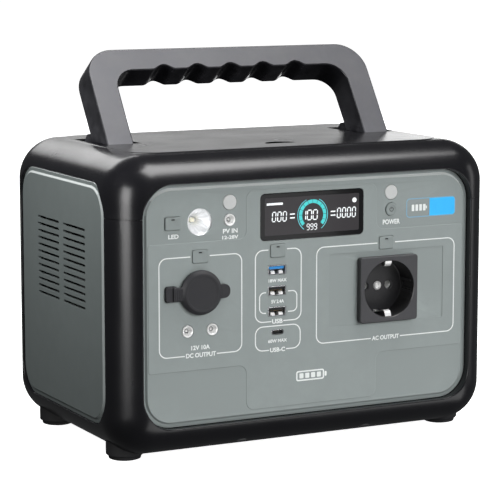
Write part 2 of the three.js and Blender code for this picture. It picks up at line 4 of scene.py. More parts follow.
import bmesh
import bpy
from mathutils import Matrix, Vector

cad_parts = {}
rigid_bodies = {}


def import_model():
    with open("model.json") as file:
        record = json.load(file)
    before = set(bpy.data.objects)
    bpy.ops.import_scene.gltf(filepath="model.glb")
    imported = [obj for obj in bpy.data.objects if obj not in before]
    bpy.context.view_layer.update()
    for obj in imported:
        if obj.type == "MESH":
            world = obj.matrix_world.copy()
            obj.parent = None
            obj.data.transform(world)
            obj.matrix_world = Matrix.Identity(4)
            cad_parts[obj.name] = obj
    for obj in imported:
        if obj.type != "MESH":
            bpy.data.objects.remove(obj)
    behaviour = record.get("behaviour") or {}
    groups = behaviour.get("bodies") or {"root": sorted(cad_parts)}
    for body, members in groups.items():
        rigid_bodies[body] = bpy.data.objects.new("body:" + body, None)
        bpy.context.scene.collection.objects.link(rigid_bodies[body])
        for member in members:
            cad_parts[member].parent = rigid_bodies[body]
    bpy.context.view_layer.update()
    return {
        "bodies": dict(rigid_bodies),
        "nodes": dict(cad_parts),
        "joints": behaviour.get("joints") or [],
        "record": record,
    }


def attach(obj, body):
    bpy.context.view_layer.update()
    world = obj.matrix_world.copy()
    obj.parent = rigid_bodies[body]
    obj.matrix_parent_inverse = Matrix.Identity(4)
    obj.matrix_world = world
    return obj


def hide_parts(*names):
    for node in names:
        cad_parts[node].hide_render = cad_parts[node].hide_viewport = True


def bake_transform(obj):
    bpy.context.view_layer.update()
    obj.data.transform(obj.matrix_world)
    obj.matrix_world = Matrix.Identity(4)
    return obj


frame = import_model()
scene = bpy.context.scene
mm = 0.001

# camera

cameraValues = {
    "place": (-0.7017, -1.3631, 0.3513),
    "looking": (0.4534, 0.8794, -0.1449),
    "lens": 153.87,
    "sensor": 36,
    "farthest": 50,
}


def aim(thing, place, direction):
    thing.location = place
    thing.rotation_mode = "QUATERNION"
    thing.rotation_quaternion = Vector(direction).to_track_quat("-Z", "Y")
    scene.collection.objects.link(thing)


cameraData = bpy.data.cameras.new("camera")
cameraData.lens = cameraValues["lens"]
cameraData.sensor_width = cameraValues["sensor"]
cameraData.clip_end = cameraValues["farthest"]
camera = bpy.data.objects.new("camera", cameraData)
aim(camera, cameraValues["place"], cameraValues["looking"])
scene.camera = camera
scene.view_settings.view_transform = "Standard"
print("camera placed")

# studio: pale floor, white surround, soft lights

studioValues = {
    "floorSize": 80,
    "floorLook": {"Base Color": (0.93, 0.93, 0.935, 1), "Roughness": 0.9, "Specular IOR Level": 0.1,
                  "Emission Color": (1, 1, 1, 1)},
    "floorSeen": 1.0,
    "surroundSeen": {"Strength": 1.0, "Color": (1, 1, 1, 1)},
    "surroundGlow": {"Strength": 0.065, "Color": (0.96, 0.98, 1, 1)},
    "lightsAimAt": (0, 0, 0.1),
    "lights": [
        # name, place, width, height, radiance, what it reaches
        ("overheadBox", (0.5, -0.42, 1.9), 1.1, 0.8, 8.8, "all"),
        ("backTopBox", (0.12, 2.3, 1.45), 1.5, 0.8, 3.4, "all"),
        ("backLowBox", (1.2, 2.4, 0.15), 1.6, 1.6, 0.76, "all"),
        ("backSideBox", (1.86, 2.25, 0.1), 0.8, 1.6, 1.4, "all"),
        ("cornerStrip", (-1.75, -1.05, 0.5), 0.8, 1.4, 7.5, "glossy"),
        ("leftNear", (-0.38, -0.06, 0.42), 0.2, 0.2, 14.0, "diffuse"),
        ("frontFill", (0.6, -2.35, 1.0), 1.9, 1.1, 7.0, "diffuse"),
        ("underFill", (0.55, -1.1, -0.6), 1.6, 0.9, 1.5, "all"),
        ("glassCard", (0.71, -2.1, -0.155), 0.8, 0.4, 0.5, "glossy"),
        ("rightFill", (1.95, -0.62, 0.35), 0.5, 1.3, 1.3, "all"),
    ],
}


def setInputs(node, values):
    for label, value in values.items():
        node.inputs[label].default_value = value


def addLight(name, place, width, height, radiance, reach):
    data = bpy.data.lights.new(name, "AREA")
    data.shape = "RECTANGLE"
    data.size = width
    data.size_y = height
    data.energy = radiance * math.pi * width * height
    light = bpy.data.objects.new(name, data)
    aim(light, place, Vector(studioValues["lightsAimAt"]) - Vector(place))
    light.visible_camera = False
    light.visible_glossy = reach != "diffuse"
    light.visible_diffuse = reach != "glossy"


def makeSurround():
    # the camera sees white; the object is lit by a much weaker glow
    world = bpy.data.worlds.new("surround")
    scene.world = world
    world.use_nodes = True
    nodes, links = world.node_tree.nodes, world.node_tree.links
    nodes.clear()
    output = nodes.new("ShaderNodeOutputWorld")
    mix = nodes.new("ShaderNodeMixShader")
    path = nodes.new("ShaderNodeLightPath")
    links.new(path.outputs["Is Camera Ray"], mix.inputs["Fac"])
    for index, values in ((1, studioValues["surroundGlow"]), (2, studioValues["surroundSeen"])):
        background = nodes.new("ShaderNodeBackground")
        setInputs(background, values)
        links.new(background.outputs["Background"], mix.inputs[index])
    links.new(mix.outputs["Shader"], output.inputs["Surface"])


def makeFloor():
    size = studioValues["floorSize"] / 2
    corners = [(-size, -size, 0), (size, -size, 0), (size, size, 0), (-size, size, 0)]
    mesh = bpy.data.meshes.new("studio_floor")
    mesh.from_pydata(corners, [], [(0, 1, 2, 3)])
    floor = bpy.data.objects.new("studio_floor", mesh)
    scene.collection.objects.link(floor)
    paper = bpy.data.materials.new("floorPaper")
    paper.use_nodes = True
    tree = paper.node_tree
    shader = tree.nodes["Principled BSDF"]
    setInputs(shader, studioValues["floorLook"])
    path = tree.nodes.new("ShaderNodeLightPath")
    lift = mathNode(tree, "MULTIPLY", path.outputs["Is Camera Ray"], studioValues["floorSeen"])
    tree.links.new(lift, shader.inputs["Emission Strength"])
    mesh.materials.append(paper)
    floor.visible_glossy = False
    floor.visible_diffuse = False
    floor.visible_shadow = False


def mathNode(tree, operation, first, second=None, third=None, clamp=False):
    node = tree.nodes.new("ShaderNodeMath")
    node.operation = operation
    node.use_clamp = clamp
    for index, value in enumerate((first, second, third)):
        if isinstance(value, (int, float)):
            node.inputs[index].default_value = value
        elif value is not None:
            tree.links.new(value, node.inputs[index])
    return node.outputs[0]


for lightValues in studioValues["lights"]:
    addLight(*lightValues)
makeSurround()
makeFloor()
print("studio lit")

# shared surface effects


def makeGroup(name, given, outputs):
    group = bpy.data.node_groups.new(name, "ShaderNodeTree")
    group.interface.new_socket(name=given, in_out="INPUT", socket_type="NodeSocketFloat")
    for label in outputs:
        group.interface.new_socket(name=label, in_out="OUTPUT", socket_type="NodeSocketFloat")
    entry = group.nodes.new("NodeGroupInput")
    return group, entry.outputs[given], group.nodes.new("NodeGroupOutput")


def noiseNode(tree, scale, detail, roughness):
    place = tree.nodes.new("ShaderNodeTexCoord")
    noise = tree.nodes.new("ShaderNodeTexNoise")
    setInputs(noise, {"Detail": detail, "Roughness": roughness})
    tree.links.new(place.outputs["Object"], noise.inputs["Vector"])
    if isinstance(scale, (int, float)):
        noise.inputs["Scale"].default_value = scale
    else:
        tree.links.new(scale, noise.inputs["Scale"])
    return noise.outputs["Fac"]


def mouldedGrain():
    # spark-eroded mould texture: fine grain over a faint orange peel
    group, scale, out = makeGroup("mouldedGrain", "Grain Scale", ["Height", "Mottle"])
    tall = mathNode(group, "MULTIPLY", noiseNode(group, scale, 3, 0.6), 0.5)
    height = mathNode(group, "MULTIPLY_ADD", noiseNode(group, 140, 2, 0.5), 0.35, tall)
    group.links.new(height, out.inputs["Height"])
    group.links.new(noiseNode(group, 24, 3, 0.55), out.inputs["Mottle"])
    return group


def edgeWear():
    # convex edges rubbed paler, broken up by noise
    group, amount, out = makeGroup("edgeWear", "Amount", ["Mask"])
    geometry = group.nodes.new("ShaderNodeNewGeometry")
    above = mathNode(group, "SUBTRACT", geometry.outputs["Pointiness"], 0.52)
    edge = mathNode(group, "DIVIDE", above, 0.06, clamp=True)
    broken = mathNode(group, "MULTIPLY_ADD", noiseNode(group, 90, 4, 0.6), 1.6, -0.35, clamp=True)
    worn = mathNode(group, "MULTIPLY", edge, broken)
    group.links.new(mathNode(group, "MULTIPLY", worn, amount, clamp=True), out.inputs["Mask"])
    return group


def settledDust():
    # a little dust on faces that look up, and faint smears anywhere
    group, amount, out = makeGroup("settledDust", "Amount", ["Mask"])
    geometry = group.nodes.new("ShaderNodeNewGeometry")
    split = group.nodes.new("ShaderNodeSeparateXYZ")
    group.links.new(geometry.outputs["Normal"], split.inputs[0])
    up = mathNode(group, "MULTIPLY_ADD", split.outputs["Z"], 0.8, 0.2, clamp=True)
    cloud = mathNode(group, "MULTIPLY_ADD", noiseNode(group, 38, 5, 0.65), 2.2, -0.85, clamp=True)
    mask = mathNode(group, "MULTIPLY", up, cloud)
    group.links.new(mathNode(group, "MULTIPLY", mask, amount, clamp=True), out.inputs["Mask"])
    return group


grainGroup = mouldedGrain()
wearGroup = edgeWear()
dustGroup = settledDust()

# finishes

finishValues = [
    # name, colour, roughness, bump, wear, dust, anything else
    ("shellBlack", (20, 20, 23), 0.25, 0.02, 0.1, 0.012, {}),
    ("panelGrey", (139, 147, 146), 0.52, 0.06, 0.25, 0.05, {"shade": 0.96}),
    ("sideGrey", (102, 109, 108), 0.5, 0.07, 0.3, 0.05, {"shade": 0.95}),
    # painted highlights: paler copies of the panel grey for moulded edges that face the light
    ("edgePale", (164, 171, 170), 0.45, 0.05, 0.3, 0.15, {"shade": 0.97}),
    ("edgeBright", (196, 201, 200), 0.42, 0.05, 0.3, 0.15, {"shade": 0.97}),
    ("buttonGrey", (134, 142, 141), 0.5, 0.05, 0.3, 0.15, {"shade": 0.96}),
    # painted light for the handle's forward faces
    ("handleFace", (75, 75, 80), 0.42, 0.06, 0.3, 0.15, {"shade": 0.95}),
    ("handleSide", (24, 24, 27), 0.22, 0.03, 0.5, 0.015, {"worn": (120, 120, 126)}),
    ("rubberBlack", (46, 46, 49), 0.5, 0.1, 0.15, 0.15, {"grain": 1500, "specular": 0.35}),
    ("footRubber", (30, 30, 32), 0.75, 0.14, 0.1, 0.15, {"grain": 1500, "specular": 0.3}),
    ("socketBlack", (62, 62, 65), 0.45, 0.05, 0.2, 0.15, {}),
    # painted shade for the socket's well and shaded sides
    ("wellBlack", (38, 38, 40), 0.32, 0.03, 0.05, 0.15, {}),
    ("darkPlastic", (22, 22, 24), 0.5, 0.05, 0.1, 0.15, {}),
    ("brushedSteel", (200, 202, 205), 0.28, 0.03, 0, 0.02, {"grain": 900, "metallic": 1.0}),
    ("brightNickel", (252, 252, 251), 0.34, 0.02, 0, 0.02, {"grain": 900, "metallic": 0.4}),
    ("chromeMirror", (252, 252, 252), 0.24, 0.01, 0, 0, {"metallic": 0.45}),
    ("goldContact", (215, 172, 92), 0.25, 0.02, 0, 0, {"metallic": 1.0}),
    ("lensMilk", (198, 200, 199), 0.4, 0.02, 0.1, 0.05, {}),
    ("whiteInk", (232, 236, 235), 0.5, 0.03, 0.1, 0.03, {"shade": 0.97}),
    ("blueInk", (53, 184, 255), 0.45, 0.03, 0.1, 0.03, {"shade": 0.97}),
    ("paleBlueInk", (122, 170, 200), 0.45, 0.03, 0.1, 0.03, {}),
    ("tongueBlue", (47, 143, 216), 0.4, 0.03, 0.1, 0.02, {}),
    ("displayBlack", (14, 14, 16), 0.1, 0.004, 0, 0.03, {"coat": 0.6, "coatRoughness": 0.05}),
    ("displayGrey", (52, 49, 52), 0.3, 0.01, 0, 0.02, {"coat": 0.6, "coatRoughness": 0.08}),
    ("digitWhite", (238, 242, 244), 0.35, 0.01, 0, 0, {"glow": 0.35}),
    ("ringCyan", (76, 206, 206), 0.35, 0.01, 0, 0, {"glow": 0.18}),
    ("ringPale", (110, 215, 225), 0.35, 0.01, 0, 0, {"glow": 0.2}),
    ("ledYellow", (244, 238, 214), 0.35, 0.02, 0, 0, {}),
    ("circuitGreen", (31, 92, 58), 0.45, 0.08, 0.1, 0.15, {"grain": 500}),
    ("batteryWrap", (45, 95, 154), 0.4, 0.05, 0.1, 0.15, {"grain": 300}),
    ("sinkAluminium", (196, 198, 200), 0.38, 0.04, 0, 0.15, {"grain": 700, "metallic": 1.0}),
]
clearValues = {"Base Color": (0.98, 0.99, 1, 1), "Transmission Weight": 1, "IOR": 1.25}
finishes = {}


def colourOf(colour):
    def linear(value):
        value /= 255
        return value / 12.92 if value <= 0.04045 else ((value + 0.055) / 1.055) ** 2.4

    return tuple(linear(channel) for channel in colour) + (1,)


def placeGroup(tree, group, label, value):
    node = tree.nodes.new("ShaderNodeGroup")
    node.node_tree = group
    node.inputs[label].default_value = value
    return node.outputs


def mixColour(tree, factor, first, second):
    node = tree.nodes.new("ShaderNodeMix")
    node.data_type = "RGBA"
    tree.links.new(factor, node.inputs["Factor"])
    for socket, value in ((node.inputs["A"], first), (node.inputs["B"], second)):
        if isinstance(value, tuple):
            socket.default_value = value
        else:
            tree.links.new(value, socket)
    return node.outputs["Result"]


def rangeNode(tree, value, low, high):
    node = tree.nodes.new("ShaderNodeMapRange")
    tree.links.new(value, node.inputs["Value"])
    setInputs(node, {"From Min": 0.25, "From Max": 0.75, "To Min": low, "To Max": high})
    return node.outputs["Result"]


def newMaterial(name):
    material = bpy.data.materials.new(name)
    material.use_nodes = True
    finishes[name] = material
    return material.node_tree, material.node_tree.nodes["Principled BSDF"]


def makeFinish(name, colour, roughness, bump, wear, dust, grain=2600, worn=None, shade=0.92, metallic=0.0,
               coat=0.0, coatRoughness=0.1, specular=0.5, glow=0.0):
    tree, shader = newMaterial(name)
    colour = colourOf(colour)
    darker = tuple(channel * shade for channel in colour[:3]) + (1,)
    paler = tuple(min(1, channel * 1.9 + 0.03) for channel in colour[:3]) + (1,)
    grained = placeGroup(tree, grainGroup, "Grain Scale", grain)
    base = mixColour(tree, grained["Mottle"], darker, colour)
    rubbed = placeGroup(tree, wearGroup, "Amount", wear)["Mask"]
    base = mixColour(tree, rubbed, base, colourOf(worn) if worn else paler)
    dusty = placeGroup(tree, dustGroup, "Amount", dust)["Mask"]
    base = mixColour(tree, dusty, base, colourOf((150, 148, 143)))
    tree.links.new(base, shader.inputs["Base Color"])
    rough = rangeNode(tree, grained["Mottle"], roughness * 0.9, min(1, roughness * 1.12))
    rough = mathNode(tree, "MULTIPLY_ADD", dusty, 0.5, rough, clamp=True)
    tree.links.new(rough, shader.inputs["Roughness"])
    bumpNode = tree.nodes.new("ShaderNodeBump")
    setInputs(bumpNode, {"Strength": bump, "Distance": 0.0004})
    tree.links.new(grained["Height"], bumpNode.inputs["Height"])
    tree.links.new(bumpNode.outputs["Normal"], shader.inputs["Normal"])
    setInputs(shader, {"Metallic": metallic, "Coat Weight": coat, "Coat Roughness": coatRoughness,
                       "Specular IOR Level": specular, "Emission Color": colour, "Emission Strength": glow})


def makeClear():
    tree, shader = newMaterial("lampClear")
    setInputs(shader, clearValues)
    dusty = placeGroup(tree, dustGroup, "Amount", 0.2)["Mask"]
    tree.links.new(mathNode(tree, "MULTIPLY_ADD", dusty, 0.3, 0.02), shader.inputs["Roughness"])


for *looks, others in finishValues:
    makeFinish(*looks, **others)
makeClear()
print("finishes mixed")

# mesh helpers; lengths are in millimetres until a point is placed


def facingFront(u, v, depth):
    return Vector((u, depth, v)) * mm


def facingSide(u, v, depth):
    return Vector((depth, u, v)) * mm


def facingUp(u, v, depth):
    return Vector((u, v, depth)) * mm


def arcPoints(centre, radius, start, end, steps):
    # both ends are included; angles in degrees
    points = []
    for step in range(steps + 1):
        angle = math.radians(start + (end - start) * step / steps)
        points.append((centre[0] + radius * math.cos(angle), centre[1] + radius * math.sin(angle)))
    return points


def roundedOutline(width, height, radius, centre=(0, 0), steps=8):
    points = []
    for across, up, start in ((1, 1, 0), (-1, 1, 90), (-1, -1, 180), (1, -1, 270)):
        corner = (centre[0] + across * (width / 2 - radius), centre[1] + up * (height / 2 - radius))
        points += arcPoints(corner, radius, start, start + 90, steps)
    return points


def circleOutline(radius, centre=(0, 0), steps=48):
    return [(centre[0] + radius * math.cos(math.tau * step / steps),
             centre[1] + radius * math.sin(math.tau * step / steps)) for step in range(steps)]


def filleted(corners, steps=6, closed=True):
    # corners are (u, v, radius); each is rounded by its own radius
    points = []
    count = len(corners)
    for index, (u, v, radius) in enumerate(corners):
        if not closed and index in (0, count - 1) or radius <= 0:
            points.append((u, v))
            continue
        here = Vector((u, v))
        before = (Vector(corners[index - 1][:2]) - here).normalized()
        after = (Vector(corners[(index + 1) % count][:2]) - here).normalized()
        half = math.acos(max(-1, min(1, before.dot(after)))) / 2
        run = radius / math.tan(half)
        start, end = here + before * run, here + after * run
        centre = here + (before + after).normalized() * (radius / math.sin(half))
        first = start - centre
        turn = first.angle_signed(end - centre)
        for step in range(steps + 1):
            angle = -turn * step / steps
            points.append((centre.x + first.x * math.cos(angle) - first.y * math.sin(angle),
                           centre.y + first.x * math.sin(angle) + first.y * math.cos(angle)))
    return points


def grown(outline, amount):
    # outline runs anticlockwise; a positive amount grows it
    if amount == 0:
        return list(outline)
    moved = []
    count = len(outline)
    for index in range(count):
        here = Vector(outline[index])
        into = (here - Vector(outline[index - 1])).normalized()
        away = (Vector(outline[(index + 1) % count]) - here).normalized()
        first, second = Vector((into.y, -into.x)), Vector((away.y, -away.x))
        share = max(0.35, 1 + first.dot(second))
        moved.append(tuple(here + (first + second) * (amount / share)))
    return moved


def quarterTurn(steps):
    return [math.pi / 2 * step / steps for step in range(steps + 1)]


def flat(front, back):
    # the rings of a plain slab
    return [(0, front), (0, back)]


def softRings(front, back, edge, steps=3):
    # the rings of a slab with a rounded front edge
    rings = [(-edge * (1 - math.sin(angle)), front + edge * (1 - math.cos(angle)))
             for angle in quarterTurn(steps)]
    return rings + [(0, back)]


def rod(radius, start, end):
    # the profile of a plain cylinder
    return [(0, start), (radius, start), (radius, end), (0, end)]


def shifted(points, by):
    # moves rings or a profile along its depth
    return [(size, depth + by) for size, depth in points]


def addLoop(bm, outline, depth, place=facingFront):
    return [bm.verts.new(place(u, v, depth)) for u, v in outline]


def bridge(bm, first, second):
    count = len(first)
    for index in range(count):
        following = (index + 1) % count
        bm.faces.new((first[index], first[following], second[following], second[index]))


def skinLoops(bm, loops):
    # walls between the loops, and a cap at each end
    for first, second in zip(loops, loops[1:]):
        bridge(bm, first, second)
    bm.faces.new(loops[0])
    bm.faces.new(list(reversed(loops[-1])))
    return bm


def addSolid(bm, outline, rings, place=facingFront):
    # rings are (growth, depth), from one end of the solid to the other
    return skinLoops(bm, [addLoop(bm, grown(outline, growth), depth, place) for growth, depth in rings])


def addTurned(bm, profile, centre, sides=48, place=facingFront):
    # profile points are (radius, along); it starts and ends on the axis, or closes on itself
    loops = []
    for radius, along in profile:
        outline = circleOutline(radius, centre, sides) if radius else [centre]
        loops.append(addLoop(bm, outline, along, place))
    pairs = list(zip(loops, loops[1:]))
    if len(loops[0]) > 1 and len(loops[-1]) > 1:
        pairs.append((loops[-1], loops[0]))
    for first, second in pairs:
        for side in range(sides):
            following = (side + 1) % sides
            corners = [first[side % len(first)], first[following % len(first)],
                       second[following % len(second)], second[side % len(second)]]
            bm.faces.new(list(dict.fromkeys(corners)))
    return bm


def addBox(bm, low, high):
    corners = [bm.verts.new((x * mm, y * mm, z * mm)) for z in (low[2], high[2]) for y in (low[1], high[1])
               for x in (low[0], high[0])]
    for face in ((0, 2, 3, 1), (4, 5, 7, 6), (0, 1, 5, 4), (2, 6, 7, 3), (0, 4, 6, 2), (1, 3, 7, 5)):
        bm.faces.new([corners[index] for index in face])
    return bm


def addPost(bm, centre, half, front, back):
    # a box by its centre and half size seen from the front, and how deep it runs
    (x, z), (halfX, halfZ) = centre, half
    return addBox(bm, (x - halfX, front, z - halfZ), (x + halfX, back, z + halfZ))


def solid(*values):
    return addSolid(bmesh.new(), *values)


def turned(*values):
    return addTurned(bmesh.new(), *values)


def shadeSmooth(mesh, angle=34):
    mesh.shade_smooth()
    mesh.set_sharp_from_angle(angle=math.radians(angle))


def toObject(name, bm, finish=None, angle=34):
    bmesh.ops.recalc_face_normals(bm, faces=bm.faces)
    mesh = bpy.data.meshes.new(name)
    bm.to_mesh(mesh)
    bm.free()
    shadeSmooth(mesh, angle)
    if finish:
        mesh.materials.append(finishes[finish])
    obj = bpy.data.objects.new(name, mesh)
    scene.collection.objects.link(obj)
    return obj


def applyModifiers(obj):
    depsgraph = bpy.context.evaluated_depsgraph_get()
    mesh = bpy.data.meshes.new_from_object(obj.evaluated_get(depsgraph))
    obj.modifiers.clear()
    old = obj.data
    obj.data = mesh
    bpy.data.meshes.remove(old)
    shadeSmooth(mesh)


def combine(obj, bm, operation="DIFFERENCE"):
    tool = toObject("tool", bm)
    modifier = obj.modifiers.new("combine", "BOOLEAN")
    modifier.operation = operation
    modifier.solver = "EXACT"
    modifier.object = tool
    applyModifiers(obj)
    bpy.data.objects.remove(tool)


def cutCross(obj, place, across, along, front, back):
    # each slot is its own cut: crossing boxes in one cutter would take the whole head away
    for half in ((across, along), (along, across)):
        combine(obj, addPost(bmesh.new(), place, half, front, back))


def softenEdges(obj, width):
    modifier = obj.modifiers.new("soften", "BEVEL")
    modifier.width = width * mm
    modifier.segments = 2
    modifier.limit_method = "ANGLE"
    modifier.angle_limit = math.radians(62)
    applyModifiers(obj)


def finishPiece(obj, node=None, body="case"):
    level = obj.modifiers.new("level", "WEIGHTED_NORMAL")
    level.keep_sharp = True
    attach(obj, body)
    if node:
        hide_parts(node)


def addPiece(name, bm, finish, node=None, body="case", cut=None):
    obj = toObject(name, bm, finish)
    if cut:
        combine(obj, cut)
    finishPiece(obj, node, body)


# case shells

caseValues = {
    "half": (147.5, 98.5, 102.0),
    "middle": (0, 0, 106.5),
    "radius": 29.5,
    "innerHalf": (141.5, 87.5, 98.5),
    "innerRadius": 20.0,
    "cornerSteps": 7,
    "flatSteps": (20, 12, 14),
    "panelMiddle": (0, 107.2),
    "openingHeight": 165,
    "openingRadius": 22,
    "frontWidth": 255,
    "sideWidth": 150,
    "frontFloor": 90.0,  # where the front and rear panels rest, from the middle
    "sideFloor": 143.5,
    "ledge": 5,
    "rimEdge": 1.1,
    "outerSteps": 8,
    "innerSteps": 3,
    "deckMargin": 6,
    "deckRadius": 20,
    "deckSteps": (12, 4),
    "deckInside": -22,
    "deckRise": 0.45,
    "seam": 167.6,
    "seamGap": 0.3,
    "together": 2e-6,
}
hingeValues = {"legX": 103, "pivot": (27.4, 200.8), "pocketHalf": 15.5, "front": -6.9, "rear": 41.6,
               "floor": 186.3, "wall": 4, "pinHole": 3.15, "pinReach": 22}


def otherAxes(axis):
    return [other for other in range(3) if other != axis]


def boxPoint(half, radius, middle, values):
    # values run from -2 to 2 on each axis; beyond 1 they turn round the rounded edge
    base = [max(-1, min(1, value)) * (half[axis] - radius) for axis, value in enumerate(values)]
    turn = Vector([math.copysign(max(abs(value) - 1, 0), value) for value in values])
    return Vector(base) + turn.normalized() * radius + Vector(middle)


def faceLevels(steps):
    corner = caseValues["cornerSteps"]
    low = [-2 + step / corner for step in range(corner)]
    flatPart = [-1 + 2 * step / steps for step in range(steps)]
    return low + flatPart + [1 + step / corner for step in range(corner)]


def openingLoop(width, height, radius, centre, stepsU, stepsV):
    # a rounded opening with as many points as the border of the face round it
    corner = caseValues["cornerSteps"]
    flatU, flatV = width / 2 - radius, height / 2 - radius
    points = []
    sides = ((-1, -1, 1, -1, 225, stepsU), (1, -1, 1, 1, 315, stepsV),
             (1, 1, -1, 1, 45, stepsU), (-1, 1, -1, -1, 135, stepsV))
    for u0, v0, u1, v1, start, steps in sides:
        points += arcPoints((u0 * flatU, v0 * flatV), radius, start, start + 45, corner)[:-1]
        outward = math.radians(start + 45)
        for step in range(steps):
            share = step / steps
            points.append(((u0 + (u1 - u0) * share) * flatU + radius * math.cos(outward),
                           (v0 + (v1 - v0) * share) * flatV + radius * math.sin(outward)))
        points += arcPoints((u1 * flatU, v1 * flatV), radius, start + 45, start + 90, corner)[:-1]
    return [(u + centre[0], v + centre[1]) for u, v in points]


class CaseSkin:
    # one rounded box, as six faces that meet on the middles of its rounded edges
    def __init__(self, bm, half, radius):
        self.bm, self.half, self.radius, self.middle = bm, half, radius, caseValues["middle"]

    def depthAt(self, axis, u, v):
        first, second = otherAxes(axis)
        overU = max(abs(u - self.middle[first]) - (self.half[first] - self.radius), 0)
        overV = max(abs(v - self.middle[second]) - (self.half[second] - self.radius), 0)
        rise = self.radius ** 2 - overU ** 2 - overV ** 2
        return self.half[axis] - self.radius + math.sqrt(max(rise, 0))

    def ring(self, previous, axis, side, loop, drop=0.0, depth=None):
        # lays a loop on the skin, or at a depth, and joins it to the previous one
        first, second = otherAxes(axis)
        vertices = []
        for u, v in loop:
            values = [0, 0, 0]
            values[first], values[second] = u, v
            if depth is None:
                values[axis] = self.middle[axis] + side * (self.depthAt(axis, u, v) - drop)
            else:
                values[axis] = side * depth
            vertices.append(self.bm.verts.new(Vector(values) * mm))
        bridge(self.bm, previous, vertices)
        return vertices

    def border(self, axis, side):
        first, second = otherAxes(axis)
        levelsU = faceLevels(caseValues["flatSteps"][first])
        levelsV = faceLevels(caseValues["flatSteps"][second])
        pairs = [(u, -2) for u in levelsU] + [(2, v) for v in levelsV]
        pairs += [(-u, 2) for u in levelsU] + [(-2, -v) for v in levelsV]
        points = []
        for u, v in pairs:
            values = [0, 0, 0]
            values[first], values[second], values[axis] = u, v, 2 * side
            points.append(boxPoint(self.half, self.radius, self.middle, values))
        return points

    def face(self, axis, side, loop, steps):
        # quads from the face's border in to the loop; gives back the loop's vertices
        first, second = otherAxes(axis)
        edge = self.border(axis, side)
        previous = [self.bm.verts.new(point * mm) for point in edge]
        for step in range(1, steps + 1):
            share = step / steps
            between = [(point[first] + (u - point[first]) * share,
                        point[second] + (v - point[second]) * share)
                       for point, (u, v) in zip(edge, loop)]
            previous = self.ring(previous, axis, side, between)
        return previous


def makeCase():
    bm = bmesh.new()
    outer = CaseSkin(bm, caseValues["half"], caseValues["radius"])
    inner = CaseSkin(bm, caseValues["innerHalf"], caseValues["innerRadius"])
    height, radius = caseValues["openingHeight"], caseValues["openingRadius"]
    edge, ledge = caseValues["rimEdge"], caseValues["ledge"]
    stepsX, stepsY, stepsZ = caseValues["flatSteps"]
    for axis, width, floor, stepsU in ((1, caseValues["frontWidth"], caseValues["frontFloor"], stepsX),
                                       (0, caseValues["sideWidth"], caseValues["sideFloor"], stepsY)):

        def opening(growth):
            return openingLoop(width + 2 * growth, height + 2 * growth, radius + growth,
                               caseValues["panelMiddle"], stepsU, stepsZ)

        for side in (-1, 1):
            previous = outer.face(axis, side, opening(edge), caseValues["outerSteps"])
            for angle in quarterTurn(4)[1:]:
                loop = opening(edge * (1 - math.sin(angle)))
                previous = outer.ring(previous, axis, side, loop, edge * (1 - math.cos(angle)))
            for growth in (0, -ledge):
                previous = outer.ring(previous, axis, side, opening(growth), depth=floor)
            bridge(bm, previous, inner.face(axis, side, opening(-ledge), caseValues["innerSteps"]))
    deckX, deckY = [2 * (size - caseValues["radius"]) + caseValues["deckMargin"]
                    for size in caseValues["half"][:2]]
    rise = caseValues["deckRise"]

    def deck(growth):
        return openingLoop(deckX + 2 * growth, deckY + 2 * growth, caseValues["deckRadius"] + growth, (0, 0),
                           stepsX, stepsY)

    outerSteps, innerSteps = caseValues["deckSteps"]
    for side in (-1, 1):
        previous = outer.face(2, side, deck(0.5), outerSteps)
        if side > 0:
            for growth, drop in ((0.15, -0.12), (-0.35, -rise * 0.8), (-0.9, -rise)):
                previous = outer.ring(previous, 2, side, deck(growth), drop)
        bm.faces.new(previous)
        bm.faces.new(inner.face(2, side, deck(caseValues["deckInside"]), innerSteps))
    bmesh.ops.remove_doubles(bm, verts=bm.verts, dist=caseValues["together"])
    bmesh.ops.recalc_face_normals(bm, faces=bm.faces)
    return bm


def halfCase(name, whole, keepAbove):
    bm = whole.copy()
    level = caseValues["seam"] + (0.5 if keepAbove else -0.5) * caseValues["seamGap"]
    cut = bmesh.ops.bisect_plane(bm, geom=bm.verts[:] + bm.edges[:] + bm.faces[:],
                                 plane_co=(0, 0, level * mm), plane_no=(0, 0, 1),
                                 clear_inner=keepAbove, clear_outer=not keepAbove)
    edges = [item for item in cut["geom_cut"] if isinstance(item, bmesh.types.BMEdge)]
    bmesh.ops.holes_fill(bm, edges=edges, sides=0)
    return toObject(name, bm, "shellBlack")


def pocketBox(bm, side, growth, top):
    # the pocket in the deck that a leg of the handle drops into
    x, half = side * hingeValues["legX"], hingeValues["pocketHalf"] + growth
    addBox(bm, (x - half, hingeValues["front"] - growth, hingeValues["floor"] - growth),
           (x + half, hingeValues["rear"] + growth, top))


def makeShells():
    whole = makeCase()
    upper = halfCase("case_upper", whole, True)
    lower = halfCase("case_lower", whole, False)
    whole.free()
    walls, holes, bores, arches = bmesh.new(), bmesh.new(), bmesh.new(), bmesh.new()
    reach = hingeValues["pinReach"]
    for side in (-1, 1):
        x = side * hingeValues["legX"]
        pocketBox(walls, side, hingeValues["wall"], 207)
        pocketBox(holes, side, 0, 215)
        bore = rod(hingeValues["pinHole"], x - reach, x + reach)
        addTurned(bores, bore, hingeValues["pivot"], 32, facingSide)
        # a small arch under the front lip
        addSolid(arches, circleOutline(6, (side * 49, 4.5), 40),
                 [(0.9, -99), (0.2, -97.6), (0, -96), (0, -84.5)])
    combine(upper, walls, "UNION")
    combine(upper, holes)
    combine(upper, bores)
    # a finger notch in the deck
    combine(upper, solid(arcPoints((0, -50), 11.5, 0, 180, 18), flat(206.3, 215), facingUp))
    combine(lower, arches)
    finishPiece(upper, "upper_shell")
    finishPiece(lower, "lower_shell")


makeShells()
print("shells made")

# front, rear and side panels, and the controls' places on the front

